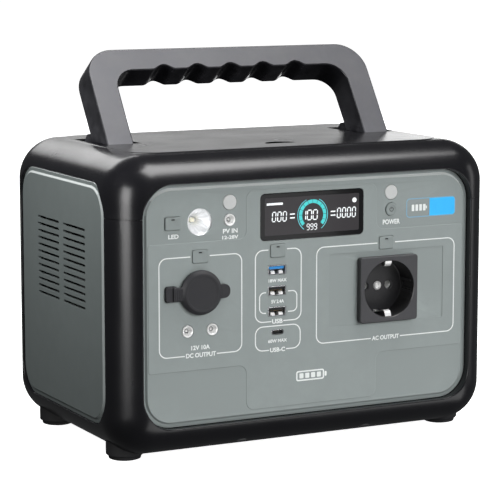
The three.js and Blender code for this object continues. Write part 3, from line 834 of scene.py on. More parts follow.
panelValues = {
    "face": -92.8,
    "back": -90.3,
    "size": (254.4, 164.4, 21.7),
    "rim": 2.4,
    "rimDrop": 1.45,
    "chamfer": 1.5,
    "step": 0.28,
    "softEdge": 0.16,
    "plus": [(-49.3, 31.8, 5.5), (52.2, 31.8, 5.5), (52.2, 63.2, 6), (122.4, 63.2, 1.5), (122.4, 149.6, 1.5),
             (52.2, 149.6, 6), (52.2, 182.2, 5.5), (-49.3, 182.2, 5.5), (-49.3, 149.6, 6),
             (-122.4, 149.6, 1.5), (-122.4, 63.2, 1.5), (-49.3, 63.2, 6)],
    "recess": (92.5, 51, 1.2, (60.8, 109.3), 3),
    "rearField": (150, 96, 10, (0, 107.2), 8),
}
controlValues = {
    "buttons": {"led_button": (-104.4, 163.4), "dc_button": (-84.4, 140.2), "usb_button": (-25.6, 140.2),
                "ac_button": (60.2, 140.2)},
    "buttonSize": (11.4, 8.7),
    "buttonGap": 0.3,
    "proud": 0.9,
    "power": (64, 163.4),
    "powerRadius": 4.5,
    "lamp": (-84.3, 163.4),
    "lampRadius": 9.0,
    "indicators": {"left": (-62, 175.4), "right": (64, 175.4)},
    "indicatorRadius": 5.1,
    "jacks": {"pv_input_jack": (-62, 163.4), "dc_jack_left": (-93.7, 89.9), "dc_jack_right": (-75.3, 89.9)},
    "jackRadius": 4.1,
    "display": (1.3, 163.4),
    "displaySize": (80.3, 32.0, 3.2),
    "car": (-84.6, 116.0),
    "carRadius": 13.4,
    "strap": (-106.2, 116.0),
    "usbX": -26.1,
    "usbRows": (127, 112.6, 98.3),
    "usbC": (-25.6, 83.9),
    "socket": (60.4, 108.0),
    "cupRadius": 21.8,
}
rearScrewPlaces = [(x, z) for x in (-112, 112) for z in (40.2, 174.2)]


def panelHoles():
    gap = controlValues["buttonGap"]
    width, height = controlValues["buttonSize"]
    outlines = [roundedOutline(width + 2 * gap, height + 2 * gap, 1.2, place, 3)
                for place in controlValues["buttons"].values()]
    outlines.append(circleOutline(controlValues["powerRadius"] + gap, controlValues["power"], 40))
    outlines.append(circleOutline(controlValues["lampRadius"] + 0.25, controlValues["lamp"], 56))
    for place in controlValues["indicators"].values():
        outlines.append(circleOutline(controlValues["indicatorRadius"] + 0.2, place, 40))
    for place in controlValues["jacks"].values():
        outlines.append(circleOutline(controlValues["jackRadius"] + 0.25, place, 36))
    width, height, radius = controlValues["displaySize"]
    outlines.append(roundedOutline(width + 0.5, height + 0.5, radius + 0.25, controlValues["display"], 6))
    outlines.append(circleOutline(controlValues["carRadius"] + 0.3, controlValues["car"], 56))
    outlines.append(roundedOutline(9.2, 10.9, 2, controlValues["strap"], 4))
    for z in controlValues["usbRows"]:
        outlines.append(roundedOutline(14.2, 6.8, 0.8, (controlValues["usbX"], z), 3))
    outlines.append(roundedOutline(9.6, 3.8, 1.89, controlValues["usbC"], 6))
    outlines.append(circleOutline(controlValues["cupRadius"] + 0.3, controlValues["socket"], 64))
    bm = bmesh.new()
    for outline in outlines:
        addSolid(bm, outline, flat(panelValues["face"] - 6, panelValues["back"] + 6))
    return bm


def paintEdgeHighlights(obj, lit):
    # painted highlight: faces of the moulded edge that look up, or forward past the lit threshold, get paler
    # and brighter copies of the grey
    obj.data.materials.append(finishes["edgePale"])
    obj.data.materials.append(finishes["edgeBright"])
    for polygon in obj.data.polygons:
        way = polygon.normal
        if 0.3 < max(abs(way.x), abs(way.y)) < 0.97 and way.z < 0.97:
            polygon.material_index = 2 if way.z > 0.45 else 1 if way.z > 0.12 or way.y < lit else 0


def makePlate(name, face, back, inward):
    # a rounded plate with a rim that drops below its face
    width, height, radius = panelValues["size"]
    rim, chamfer = panelValues["rim"], panelValues["chamfer"]
    low = face + inward * panelValues["rimDrop"]
    rings = [(0, back), (0, low + inward * 0.35), (-0.1, low + inward * 0.1), (-0.35, low), (-rim, low),
             (-rim - 0.2, low - inward * 0.12), (-rim - chamfer + 0.2, face + inward * 0.12),
             (-rim - chamfer, face)]
    outline = roundedOutline(width, height, radius, caseValues["panelMiddle"], 14)
    return toObject(name, solid(outline, rings), "panelGrey")


def makeFrontPanel():
    face, step = panelValues["face"], panelValues["step"] / 2
    low, top = face + step, face - step
    panel = makePlate("front_panel_face", low, panelValues["back"], 1)
    paintEdgeHighlights(panel, -2)
    # the raised middle band and the raised column behind the display
    rings = [(0.35, low + 0.6), (0.35, low), (0.12, top + 0.06), (0, top)]
    combine(panel, solid(filleted(panelValues["plus"]), rings), "UNION")
    combine(panel, solid(roundedOutline(*panelValues["recess"]), flat(top + 0.35, top - 1)))
    combine(panel, panelHoles())
    softenEdges(panel, panelValues["softEdge"])
    finishPiece(panel, "front_panel")


def makeRearPanel():
    face = -panelValues["face"]
    panel = makePlate("rear_panel_face", face, -panelValues["back"], -1)
    # a sunken field in the middle
    combine(panel, solid(roundedOutline(*panelValues["rearField"]),
                         [(-0.8, face - 0.7), (-0.2, face - 0.5), (0, face + 1)]))
    holes = bmesh.new()
    countersunk = [(0, 80), (1.8, 80), (1.8, face - 1.0), (3.5, face - 1.0), (3.5, 100), (0, 100)]
    for place in rearScrewPlaces:
        addTurned(holes, countersunk, place, 32)
    combine(panel, holes)
    softenEdges(panel, panelValues["softEdge"])
    finishPiece(panel, "rear_panel")


def makeRearScrew(index, place):
    face = -panelValues["face"]
    profile = [(0, 0.7), (1.6, 0.65), (2.5, 0.3), (3.0, -0.35), (3.05, -0.7), (1.5, -0.7), (1.5, -7), (0, -8)]
    screw = toObject(f"rear_screw_{index}_head", turned(shifted(profile, face), place, 32), "brushedSteel")
    cutCross(screw, place, 0.45, 1.8, face - 0.6, face + 3)
    finishPiece(screw, f"rear_screw_{index}")


sideValues = {"outer": 146.3, "inner": 143.8, "size": (149.4, 164.4, 21.7), "edge": 2.4, "rows": 12,
              "pitch": 4.9, "top": 155.4, "slot": (38.4, 2.0, 0.98), "offset": 23.2, "softEdge": 0.18}


def makeSidePanel(name, node, side):
    outer, inner, edge = side * sideValues["outer"], side * sideValues["inner"], sideValues["edge"]
    drops = [(0, 1.5), (-0.2, 1.25), (-0.8, 1.1), (-edge, 1.0), (-edge - 0.3, 0.85), (-edge - 1.3, 0.12),
             (-edge - 1.6, 0)]
    rings = [(0, inner)] + [(growth, outer - side * drop) for growth, drop in drops]
    outline = roundedOutline(*sideValues["size"], caseValues["panelMiddle"], 12)
    panel = toObject(name, solid(outline, rings, facingSide), "sideGrey")
    paintEdgeHighlights(panel, -0.25)
    slots = bmesh.new()
    for row in range(sideValues["rows"]):
        for column in (-1, 1):
            place = (column * sideValues["offset"], sideValues["top"] - row * sideValues["pitch"])
            addSolid(slots, roundedOutline(*sideValues["slot"], place, 4),
                     flat(inner - side * 5, outer + side * 5), facingSide)
    combine(panel, slots)
    softenEdges(panel, sideValues["softEdge"])
    finishPiece(panel, node)


makeFrontPanel()
makeRearPanel()
for screwIndex, screwPlace in enumerate(rearScrewPlaces):
    makeRearScrew(screwIndex + 1, screwPlace)
makeSidePanel("left_vent_panel", "left_side_panel", -1)
makeSidePanel("right_vent_panel", "right_side_panel", 1)
print("panels made")

# handle

handleValues = {
    "along": (0.565, 0.825),
    "forward": (-0.825, 0.565),
    "half": 113,
    "leg": 20,
    "foot": -34,
    "reach": 64.6,
    "grip": 17.6,
    "outer": 22,
    "inner": 15,
    "front": 32.1,
    "rear": 9.0,
    "fingers": 5,
    "pitch": 26.7,
    "fingerWidth": 17.5,
    "fingerDepth": 3.5,
    "edge": 0.9,
    "frontEdge": [(1, 0), (0.62, 0.08), (0.29, 0.29), (0.08, 0.62), (0, 1)],
    "rearEdge": [(0, 1), (0.29, 0.29), (1, 0)],
    "cutBelow": 208.7,
    "knuckle": 13,
    "knuckleHalf": 9.6,
    "bore": 3.3,
}


def onHandle(u, v, depth):
    # u across, v up the legs from the pivot, depth towards the front
    along, forward, pivot = handleValues["along"], handleValues["forward"], hingeValues["pivot"]
    y, z = [pivot[index] + v * along[index] + depth * forward[index] for index in (0, 1)]
    return Vector((u, y, z)) * mm


def archOutline():
    half, top, foot = handleValues["half"], handleValues["reach"], handleValues["foot"]
    inside, under = half - handleValues["leg"], top - handleValues["grip"]
    outer, inner = handleValues["outer"], handleValues["inner"]
    points = [(half, foot), (half, 0)]
    points += arcPoints((half - outer, top - outer), outer, 0, 90, 14)
    points += [(x, top) for x in (60, 30, 0, -30, -60)]
    points += arcPoints((-half + outer, top - outer), outer, 90, 180, 14)
    points += [(-half, 0), (-half, foot), (-inside, foot), (-inside, 0)]
    points += arcPoints((-inside + inner, under - inner), inner, 180, 90, 12)
    reach = handleValues["fingerWidth"] / 2
    for finger in range(handleValues["fingers"]):
        middle = (finger - (handleValues["fingers"] - 1) / 2) * handleValues["pitch"]
        for step in range(17):
            share = step / 16
            rise = handleValues["fingerDepth"] * (0.5 - 0.5 * math.cos(math.tau * share)) ** 0.8
            points.append((middle - reach + 2 * reach * share, under + rise))
    points += arcPoints((inside - inner, under - inner), inner, 90, 0, 12)
    return points + [(inside, 0), (inside, foot)]


def knuckleOutline():
    # the rounded root of a leg, about the pivot
    radius, pivot = handleValues["knuckle"], hingeValues["pivot"]
    shape = [(-32.4, 9), (-32.4, 0), (-30, -9), (-24, -radius), (0, -radius)]
    for degrees in range(9, 109, 9):
        angle = math.radians(degrees)
        shape.append((radius * math.sin(angle), -radius * math.cos(angle)))
    shape += [(4.0, 12.37), (-8, 14)]
    return [(y + pivot[0], z + pivot[1]) for y, z in shape]


def makeHandle():
    edge, front, rear = handleValues["edge"], handleValues["front"], handleValues["rear"]
    rings = [(-edge * growth, front - edge * drop) for growth, drop in handleValues["frontEdge"]]
    rings += [(-edge * growth, rear + edge * drop) for growth, drop in handleValues["rearEdge"]]
    handle = toObject("carry_handle", solid(archOutline(), rings, onHandle), "handleSide")
    combine(handle, addBox(bmesh.new(), (-200, -200, 0), (200, 200, handleValues["cutBelow"])))
    roots = bmesh.new()
    half = handleValues["knuckleHalf"]
    for side in (-1, 1):
        x = side * hingeValues["legX"]
        addSolid(roots, knuckleOutline(),
                 [(-0.4, x - half), (0, x - half + 0.4), (0, x + half - 0.4), (-0.4, x + half)], facingSide)
    combine(handle, roots, "UNION")
    combine(handle, turned(rod(handleValues["bore"], -200, 200), hingeValues["pivot"], 32, facingSide))
    # painted light: faces that look straight forward get a paler grey finish where the light falls; the rest
    # stays black
    handle.data.materials.append(finishes["handleFace"])
    forward = Vector((0, *handleValues["forward"]))
    for polygon in handle.data.polygons:
        polygon.material_index = 1 if polygon.normal.dot(forward) > 0.985 else 0
    finishPiece(handle, "handle", "handle")


makeHandle()
print("handle made")

# feet

footValues = {
    "x": 126,
    "y": 60.2,
    "profile": [(0, 0.0), (9.9, 0.0), (10.9, 0.4), (11.2, 1.1), (11.2, 2.2), (10.7, 2.8), (12.4, 2.9),
                (13.0, 3.5), (13.0, 16), (0, 16)],
    "groove": [(6.2, -1), (6.6, 0.5), (7.6, 0.5), (8.0, -1)],
    "clearance": 0.25,
}


def caseClearance():
    # the outside of the case, a little larger, to cut the tops of the feet to its curve
    bm = bmesh.new()
    extra = footValues["clearance"]
    skin = CaseSkin(bm, [size + extra for size in caseValues["half"]], caseValues["radius"] + extra)
    steps = caseValues["flatSteps"]
    for axis in range(3):
        first, second = otherAxes(axis)
        for way in (-1, 1):
            centre = (0, 0 if axis == 2 else caseValues["middle"][2])
            loop = openingLoop(40, 40, 4, centre, steps[first], steps[second])
            bm.faces.new(skin.face(axis, way, loop, 9))
    bmesh.ops.remove_doubles(bm, verts=bm.verts, dist=caseValues["together"])
    return bm


def makeFoot(end, side, place):
    bm = turned(footValues["profile"], place, 56, facingUp)
    foot = toObject(f"rubber_foot_{end}_{side}", bm, "footRubber")
    combine(foot, caseClearance())
    combine(foot, turned(footValues["groove"], place, 48, facingUp))
    finishPiece(foot, f"foot_{end}_{side}")


for footEnd, footY in (("front", -footValues["y"]), ("rear", footValues["y"])):
    for footSide, footX in (("left", -footValues["x"]), ("right", footValues["x"])):
        makeFoot(footEnd, footSide, (footX, footY))
print("feet made")

# buttons

buttonValues = {
    "dent": (2.6, 0.9, 0.4),
    "light": (2.5, 0.8, 0.38),
    "lightRise": 2.6,
    "lightRings": [(-0.1, 0.25), (0, 0.3), (0, 0.7)],
    "powerCap": [(0, 0.25), (2.6, 0.25), (3.0, 0.05), (3.3, 0), (4.05, 0), (4.38, 0.14), (4.5, 0.5), (4.5, 5),
                 (0, 5)],
}


def makeButton(node, place):
    width, height = controlValues["buttonSize"]
    front = panelValues["face"] - controlValues["proud"]
    lit = (place[0], place[1] + buttonValues["lightRise"])
    dent = solid(roundedOutline(*buttonValues["dent"], lit, 4), [(0, front + 0.5), (0.12, front - 1)])
    cap = solid(roundedOutline(width, height, 1.0, place, 4), softRings(front, front + 5, 0.35))
    addPiece(f"{node}_cap", cap, "buttonGrey", node, node, dent)
    light = solid(roundedOutline(*buttonValues["light"], lit, 4), shifted(buttonValues["lightRings"], front))
    addPiece(f"{node}_light", light, "darkPlastic", body=node)


def addArcBand(bm, centre, inside, outside, start, end, rings, steps=24):
    outline = arcPoints(centre, outside, start, end, steps) + arcPoints(centre, inside, end, start, steps)
    addSolid(bm, outline, rings)


def makePowerButton():
    front = panelValues["face"] - controlValues["proud"]
    place = controlValues["power"]
    cap = turned(shifted(buttonValues["powerCap"], front), place, 56)
    addPiece("power_button_cap", cap, "buttonGrey", "power_button", "power_button")
    mark = bmesh.new()
    rings = flat(front + 0.18, front + 0.3)
    addArcBand(mark, place, 1.25, 1.6, 118, 422, rings)
    addSolid(mark, roundedOutline(0.36, 1.5, 0.15, (place[0], place[1] + 1.1), 3), rings)
    addPiece("power_button_mark", mark, "darkPlastic", body="power_button")


for buttonName, buttonPlace in controlValues["buttons"].items():
    makeButton(buttonName, buttonPlace)
makePowerButton()

# lamp

lampValues = {
    # the lens is measured from the panel's face, the rest from the back of the bowl
    "lens": [(0, -0.85), (3, -0.8), (6, -0.55), (8.2, -0.2), (9.0, 0.2), (9.0, 1.4), (8.4, 1.5), (0, 1.2)],
    "depth": 12,
    "bowl": [(2.4, 0), (3.2, -2.6), (4.4, -5.2), (6.0, -7.4), (7.4, -9.0), (8.4, -10.0), (9.0, -10.0),
             (9.0, -8), (6.6, -5), (5.0, 0)],
    "facets": 16,
    "facetDepth": 0.14,
    "facetReach": 8,
    "led": (2.6, 2.6, 0.3),
}


def makeLamp():
    face, place = panelValues["face"], controlValues["lamp"]
    lens = turned(shifted(lampValues["lens"], face), place, 64)
    addPiece("lamp_lens_dome", lens, "lampClear", "lamp_lens")
    back = face + lampValues["depth"]
    bowl = turned(shifted(lampValues["bowl"], back), place, 64)
    reflector = toObject("lamp_reflector_bowl", bowl, "chromeMirror")
    # pressed facets scatter the beam
    for vertex in reflector.data.vertices:
        x, z = vertex.co.x / mm - place[0], vertex.co.z / mm - place[1]
        reach = math.hypot(x, z)
        if reach < lampValues["facetReach"] and vertex.co.y / mm < back - 1:
            turn = math.cos(math.atan2(z, x) * lampValues["facets"]) * lampValues["facetDepth"]
            vertex.co.x += x / max(reach, 0.1) * turn * mm
            vertex.co.z += z / max(reach, 0.1) * turn * mm
    finishPiece(reflector, "lamp_reflector")
    plate = turned(rod(8.5, back + 0.3, back + 1.9), place, 48)
    addPiece("lamp_led_plate", plate, "lensMilk", "lamp_led_board")
    chip = solid(roundedOutline(*lampValues["led"], place, 3), softRings(back - 1.2, back + 0.3, 0.25))
    addPiece("lamp_led_chip", chip, "ledYellow")


makeLamp()

# indicators and barrel jacks

jackValues = {
    "proud": 0.4,
    "depth": 12,
    "mouth": [(4.1, 0.4), (3.95, 0.1), (3.7, 0), (3.1, 0), (2.9, 0.2), (2.75, 1.2), (1.7, 2.6)],
    "pin": [(0.95, 2.9), (0.7, 2.5), (0.3, 2.35), (0, 2.3)],
    "spring": [(-2.2, -0.9), (-1.4, -1.7), (1.9, 0.9), (1.3, 1.9)],
}


def makeIndicator(side, place):
    face, radius = panelValues["face"], controlValues["indicatorRadius"]
    profile = [(0, -0.34), (radius * 0.7, -0.3), (radius - 0.3, -0.2), (radius, 0.15), (radius, 3), (0, 3)]
    lens = turned(shifted(profile, face), place, 56)
    addPiece(f"indicator_{side}_lens", lens, "lensMilk", f"indicator_lens_{side}")


def makeJack(node, place):
    front, radius = panelValues["face"] - jackValues["proud"], controlValues["jackRadius"]
    back = front + jackValues["depth"]
    barrel = turned([(0, back), (radius, back)] + shifted(jackValues["mouth"], front)
                    + [(1.7, back - 2), (0, back - 2)], place, 48)
    addTurned(barrel, [(0, back - 1.5), (0.95, back - 1.5)] + shifted(jackValues["pin"], front), place, 24)
    addPiece(f"{node}_barrel", barrel, "brightNickel", node)
    corners = [(place[0] + u, place[1] + v, 0.2) for u, v in jackValues["spring"]]
    spring = solid(filleted(corners, 3), flat(front + 2.7, front + 3.1))
    addPiece(f"{node}_spring", spring, "brushedSteel", cut=turned(rod(1.25, front + 1, front + 6), place, 20))


for indicatorSide, indicatorPlace in controlValues["indicators"].items():
    makeIndicator(indicatorSide, indicatorPlace)
for jackName, jackPlace in controlValues["jacks"].items():
    makeJack(jackName, jackPlace)
print("controls made")

# display

displayValues = {
    "face": -93.0,
    "screen": (73.6, 25.6, 1.0, (1.2, 163.5), 4),
    "proud": 0.07,
    "thick": 0.05,
    "lean": 0.06,
    "segments": {"0": "abcdef", "1": "bc", "9": "abcdfg"},
    "ends": {"a": ((0.06, 1), (0.94, 1)), "b": ((1, 0.97), (1, 0.53)), "c": ((1, 0.47), (1, 0.03)),
             "d": ((0.06, 0), (0.94, 0)), "e": ((0, 0.47), (0, 0.03)), "f": ((0, 0.97), (0, 0.53)),
             "g": ((0.06, 0.5), (0.94, 0.5))},
    "digits": [
        # figures, left, base, width, height, spacing, stroke
        ("000", -30.0, 160.2, 2.6, 6.4, 4.1, 0.75),
        ("0000", 20.6, 160.0, 2.5, 6.6, 3.95, 0.75),
        ("100", -7.4, 159.9, 3.2, 6.6, 4.5, 0.8),
        ("999", -3.2, 153.0, 1.9, 4.0, 2.9, 0.5),
    ],
    "bars": [(12.4, 1.5, 0.3, (-28.0, 172.2)),
             (3.8, 0.9, 0.2, (-14.4, 162.0)), (3.8, 0.9, 0.2, (17.4, 162.0)),
             (3.8, 0.9, 0.2, (-14.4, 164.6)), (3.8, 0.9, 0.2, (17.4, 164.6))],
    "dot": (1.7, (34.3, 171.6), 28),
    "ring": (1.4, 163.1),
    "ringSize": (8.2, 10.7),
    "ringParts": 12,
    "ringStart": -42,
    "ringPitch": 22,
    "ringGap": 0.7,
    "arcSize": (11.5, 11.9),
    "arcs": [(115, 235), (-55, 65)],
}


def addStroke(bm, start, end, thick, rings):
    # a bar with pointed ends
    first, second = Vector(start), Vector(end)
    way = (second - first).normalized()
    across = Vector((-way.y, way.x)) * thick / 2
    tip = way * thick / 2
    points = [first, first + tip - across, second - tip - across,
              second, second - tip + across, first + tip + across]
    addSolid(bm, [tuple(point) for point in points], rings)


def addDigits(bm, text, left, base, width, height, spacing, thick, rings):
    for index, digit in enumerate(text):
        x = left + index * spacing
        for segment in displayValues["segments"][digit]:
            start, end = [(x + u * width + v * height * displayValues["lean"], base + v * height)
                          for u, v in displayValues["ends"][segment]]
            addStroke(bm, start, end, thick, rings)


def makeDisplay():
    face = displayValues["face"]
    outline = roundedOutline(*controlValues["displaySize"], controlValues["display"], 8)
    glass = solid(outline, softRings(face, face + 1.6, 0.3))
    addPiece("display_glass", glass, "displayBlack", "display_window")
    screen = solid(roundedOutline(*displayValues["screen"]), flat(face - 0.03, face + 0.3))
    addPiece("display_screen", screen, "displayGrey")
    front = face - displayValues["proud"]
    rings = flat(front, front + displayValues["thick"])
    digits, ring, arcs = bmesh.new(), bmesh.new(), bmesh.new()
    for values in displayValues["digits"]:
        addDigits(digits, *values, rings)
    for values in displayValues["bars"]:
        addSolid(digits, roundedOutline(*values, 2), rings)
    addSolid(digits, circleOutline(*displayValues["dot"]), rings)
    addPiece("display_digits", digits, "digitWhite")
    centre, pitch, gap = displayValues["ring"], displayValues["ringPitch"], displayValues["ringGap"]
    for part in range(displayValues["ringParts"]):
        start = displayValues["ringStart"] + part * pitch
        addArcBand(ring, centre, *displayValues["ringSize"], start + gap, start + pitch - gap, rings, 8)
    addPiece("display_ring", ring, "ringCyan")
    for start, end in displayValues["arcs"]:
        addArcBand(arcs, centre, *displayValues["arcSize"], start, end, rings)
    addPiece("display_arcs", arcs, "ringPale")


makeDisplay()

# printed marks: outlines, labels, the badge and the battery sign

printValues = {
    "thick": 0.06,
    "sunk": 0.02,
    "line": 0.72,
    "frames": [
        # left, right, bottom, top, corner, the gap in the top for a button, the gap below for a label
        (-114.7, -53.1, 73.2, 140.3, 5.5, (-91.6, -77.2), (-96.0, -72.0)),
        (-42.75, -7.4, 91.5, 141.0, 5.5, (-32.8, -18.4), (-30.4, -21.2)),
        (-39.5, -10.7, 97.6, 111.8, 3.5, (-34.6, -17.6), (-34.6, -17.6)),
        (-42.7, -8.0, 71.7, 88.3, 5.5, (-25.35, -25.35), (-32.2, -19.0)),
        (4.75, 116.4, 73.0, 140.2, 5.5, (53.0, 67.4), (48.4, 72.2)),
    ],
    "labels": [
        # words, middle, width, height, whether on the raised band
        ("LED", (-103.8, 154.6), 7.6, 2.9, False),
        ("PV IN", (-61.6, 156.0), 11.0, 3.1, False),
        ("12-28V", (-61.6, 151.7), 12.0, 2.5, False),
        ("POWER", (64.4, 154.6), 13.9, 3.5, False),
        ("12V 10A", (-84.2, 78.4), 13.9, 3.1, True),
        ("DC OUTPUT", (-83.9, 73.3), 22.4, 3.2, True),
        ("18W MAX", (-25.6, 119.7), 14.0, 2.3, True),
        ("5V 2.4A", (-25.6, 105.2), 9.8, 2.5, True),
        ("USB", (-25.8, 91.5), 8.2, 3.2, True),
        ("60W MAX", (-25.6, 77.9), 14.6, 2.4, True),
        ("USB-C", (-25.6, 71.7), 11.6, 3.1, True),
        ("AC OUTPUT", (60.3, 73.0), 22.0, 3.2, True),
    ],
    "badge": (40.4, 13.4, 2.6, (96.8, 163.2), 6),
    "badgeLine": 0.55,
    "badgeFill": [(95.6, 156.9, 0.2), (116.6, 156.9, 2.2), (116.6, 169.5, 2.2), (95.6, 169.5, 0.2)],
    "sign": (22, 7.2, 1.6, (0, 51.5), 5),
    "signLine": 1.0,
    "cells": 4,
}


def printDepth(raised):
    return panelValues["face"] + (-0.5 if raised else 0.5) * panelValues["step"]


def addRibbon(bm, points, width, front, back):
    # a printed line along open points
    loops = []
    for index, point in enumerate(points):
        before = Vector(points[max(index - 1, 0)])
        after = Vector(points[min(index + 1, len(points) - 1)])
        way = (after - before).normalized()
        across = Vector((-way.y, way.x)) * width / 2
        here = Vector(point)
        corners = ((here - across, front), (here + across, front),
                   (here + across, back), (here - across, back))
        loops.append([bm.verts.new(facingFront(spot.x, spot.y, depth)) for spot, depth in corners])
    skinLoops(bm, loops)


def makeOutlines():
    bm = bmesh.new()
    back = printDepth(True) + printValues["sunk"]
    for left, right, bottom, top, radius, topGap, bottomGap in printValues["frames"]:
        for index, x in enumerate((left, right)):
            corners = [(topGap[index], top, 0), (x, top, radius), (x, bottom, radius),
                       (bottomGap[index], bottom, 0)]
            addRibbon(bm, filleted(corners, 6, False), printValues["line"], back - printValues["thick"], back)
    addPiece("printed_outlines", bm, "whiteInk")


def addLabel(bm, words, middle, width, height, raised):
    curve = bpy.data.curves.new("words", "FONT")
    curve.body = words
    curve.align_x = "CENTER"
    curve.align_y = "CENTER"
    curve.offset = 0.03
    curve.resolution_u = 3
    curve.extrude = 0.01
    text = bpy.data.objects.new("words", curve)
    scene.collection.objects.link(text)
    bpy.context.view_layer.update()
    mesh = bpy.data.meshes.new_from_object(text.evaluated_get(bpy.context.evaluated_depsgraph_get()))
    across = [vertex.co.x for vertex in mesh.vertices]
    up = [vertex.co.y for vertex in mesh.vertices]
    scale, tall = width / (max(across) - min(across)), height / (max(up) - min(up))
    middleX, middleY = (max(across) + min(across)) / 2, (max(up) + min(up)) / 2
    back = printDepth(raised) + printValues["sunk"]
    for vertex in mesh.vertices:
        vertex.co = facingFront(middle[0] + (vertex.co.x - middleX) * scale,
                                middle[1] + (vertex.co.y - middleY) * tall,
                                back - (printValues["thick"] if vertex.co.z > 0 else 0))
    bm.from_mesh(mesh)
    bpy.data.objects.remove(text)
    bpy.data.meshes.remove(mesh)


def makeLabels():
    bm = bmesh.new()
    for values in printValues["labels"]:
        addLabel(bm, *values)
    bmesh.ops.remove_doubles(bm, verts=bm.verts, dist=1e-7)
    addPiece("printed_labels", bm, "whiteInk")


def addRim(bm, outline, width, front, back):
    # a printed line round an outline
    inside = grown(outline, -width)
    loops = [addLoop(bm, ring, depth) for ring, depth in
             ((outline, front), (inside, front), (inside, back), (outline, back))]
    for first, second in zip(loops, loops[1:] + loops[:1]):
        bridge(bm, first, second)
    return bm


def addCells(bm, cell, first, pitch, level, terminal, rings):
    # a row of charge cells and the battery's terminal
    for index in range(printValues["cells"]):
        addSolid(bm, roundedOutline(*cell, (first + index * pitch, level), 3), rings)
    width, height, radius, x = terminal
    addSolid(bm, roundedOutline(width, height, radius, (x, level), 3), rings)
    return bm


def makeBadge():
    # a battery gauge beside a plain block
    front, back = printDepth(False) - 0.05, printDepth(False) + printValues["sunk"]
    frame = addRim(bmesh.new(), roundedOutline(*printValues["badge"]), printValues["badgeLine"], front, back)
    addPiece("badge_frame", frame, "paleBlueInk")
    addPiece("badge_fill", solid(filleted(printValues["badgeFill"]), flat(front + 0.01, back)), "blueInk")
    level = printValues["badge"][3][1]
    gauge = addCells(bmesh.new(), (2.1, 4.6, 0.4), 82.0, 3.1, level, (0.8, 2.0, 0.3, 93.0), flat(front, back))
    addPiece("badge_gauge", gauge, "whiteInk")


def makeSign():
    front, back = printDepth(True) - 0.04, printDepth(True) + printValues["sunk"]
    sign = addRim(bmesh.new(), roundedOutline(*printValues["sign"]), printValues["signLine"], front, back)
    level = printValues["sign"][3][1]
    addCells(sign, (3.2, 3.6, 0.5), -6.9, 4.6, level, (1.6, 3.4, 0.6, 12.2), flat(front, back))
    addPiece("battery_sign", sign, "whiteInk")


makeOutlines()
makeLabels()
makeBadge()
makeSign()
print("display and print made")

# car socket, its cover and strap

coverValues = {
    "front": -97.8,
    "back": -93.4,
    # the face is measured from the front, the plug from the back
    "face": [(0, 0.4), (10.8, 0.4), (11.3, 0.1), (11.7, 0), (12.6, 0), (13.1, 0.2), (14.7, 1.5),
             (15.08, 1.95), (15.2, 2.5)],
    "plug": [(15.2, -0.6), (14.8, -0.1), (14.4, 0), (9.4, 0), (9.4, 3.7), (9.1, 4.3), (8.6, 4.5), (0, 4.5)],
    "tab": [(-72.6, 111.2, 0.5), (-63.4, 111.2, 4.2), (-63.4, 120.8, 4.2), (-72.6, 120.8, 0.5)],
    "strapHeight": 10.3,
    "strapFrom": -105.4,
    "strapTo": -98.6,
    "strapSteps": 34,
    "strapRibs": 5,
}


def makeCarSocket():
    front = panelValues["face"] - 0.3
    back = front + 38
    profile = [(3.5, back), (13.4, back), (13.4, front + 0.3), (13.1, front), (11.1, front),
               (10.7, front + 0.4), (10.7, back - 2.5), (3.5, back - 2.5)]
    addPiece("car_socket_barrel", turned(profile, controlValues["car"], 64), "darkPlastic", "car_socket")


def makeCover():
    front, back = coverValues["front"], coverValues["back"]
    profile = shifted(coverValues["face"], front) + shifted(coverValues["plug"], back)
    cover = toObject("car_cover", turned(profile, controlValues["car"], 72), "rubberBlack")
    rings = [(-0.7, front + 1.0), (-0.25, front + 1.1), (0, front + 1.5), (0, back - 0.7), (-0.4, back - 0.4)]
    combine(cover, solid(filleted(coverValues["tab"], 8), rings), "UNION")
    finishPiece(cover, "car_socket_cover", "car_socket_cover")


def makeAnchor():
    face, back = panelValues["face"], panelValues["back"]
    height, place = coverValues["strapHeight"], controlValues["strap"]
    anchor = solid(roundedOutline(8.6, height, 1.8, place, 6), softRings(face - 2.6, back + 1, 0.6))
    addSolid(anchor, roundedOutline(11.6, height + 3, 2, place, 4), flat(back + 0.35, back + 2.5))
    addPiece("strap_anchor", anchor, "rubberBlack", "cover_strap_anchor")


def makeStrap():
    # a ribbed living hinge between the anchor and the cover
    height, z = coverValues["strapHeight"] - 0.8, controlValues["car"][1]
    start, end, steps = coverValues["strapFrom"], coverValues["strapTo"], coverValues["strapSteps"]
    around = roundedOutline(1.0, 1.0, 0.3, (0, 0), 2)
    bm = bmesh.new()
    loops = []
    for step in range(steps + 1):
        share = step / steps
        x = start + (end - start) * share
        inRib = 0.5 - 0.5 * math.cos(math.tau * share * coverValues["strapRibs"])
        thick = 2.5 - 0.55 * inRib
        middle = -95.45 - 0.1 * math.sin(math.pi * share)
        loops.append([bm.verts.new(Vector((x, middle + v * thick, z + u * height)) * mm) for u, v in around])
    strap = toObject("cover_strap", skinLoops(bm, loops), "rubberBlack", 60)
    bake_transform(strap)


makeCarSocket()
makeCover()
makeAnchor()
makeStrap()

# USB ports

usbValues = {
    "proud": 0.2,
    "pads": 4,
    "padPitch": 2.4,
    "springX": 3.1,
    "springHalf": 1.6,
    "spring": [(0.3, -2.5), (0.75, -1.1), (1.5, -0.55), (2.4, -0.6), (6.5, -2.5), (6.5, -2.53), (0.3, -2.53)],
    "smallPads": 6,
    "smallPitch": 0.9,
}


def tube(outer, inner, front, back, floor):
    # a drawn shell, open at the front and closed at the back
    bm = bmesh.new()
    return skinLoops(bm, [addLoop(bm, ring, depth) for ring, depth in
                          ((outer, back), (outer, front + 0.15), (grown(outer, -0.12), front),
                           (grown(inner, 0.1), front), (inner, front + 0.15), (inner, floor))])


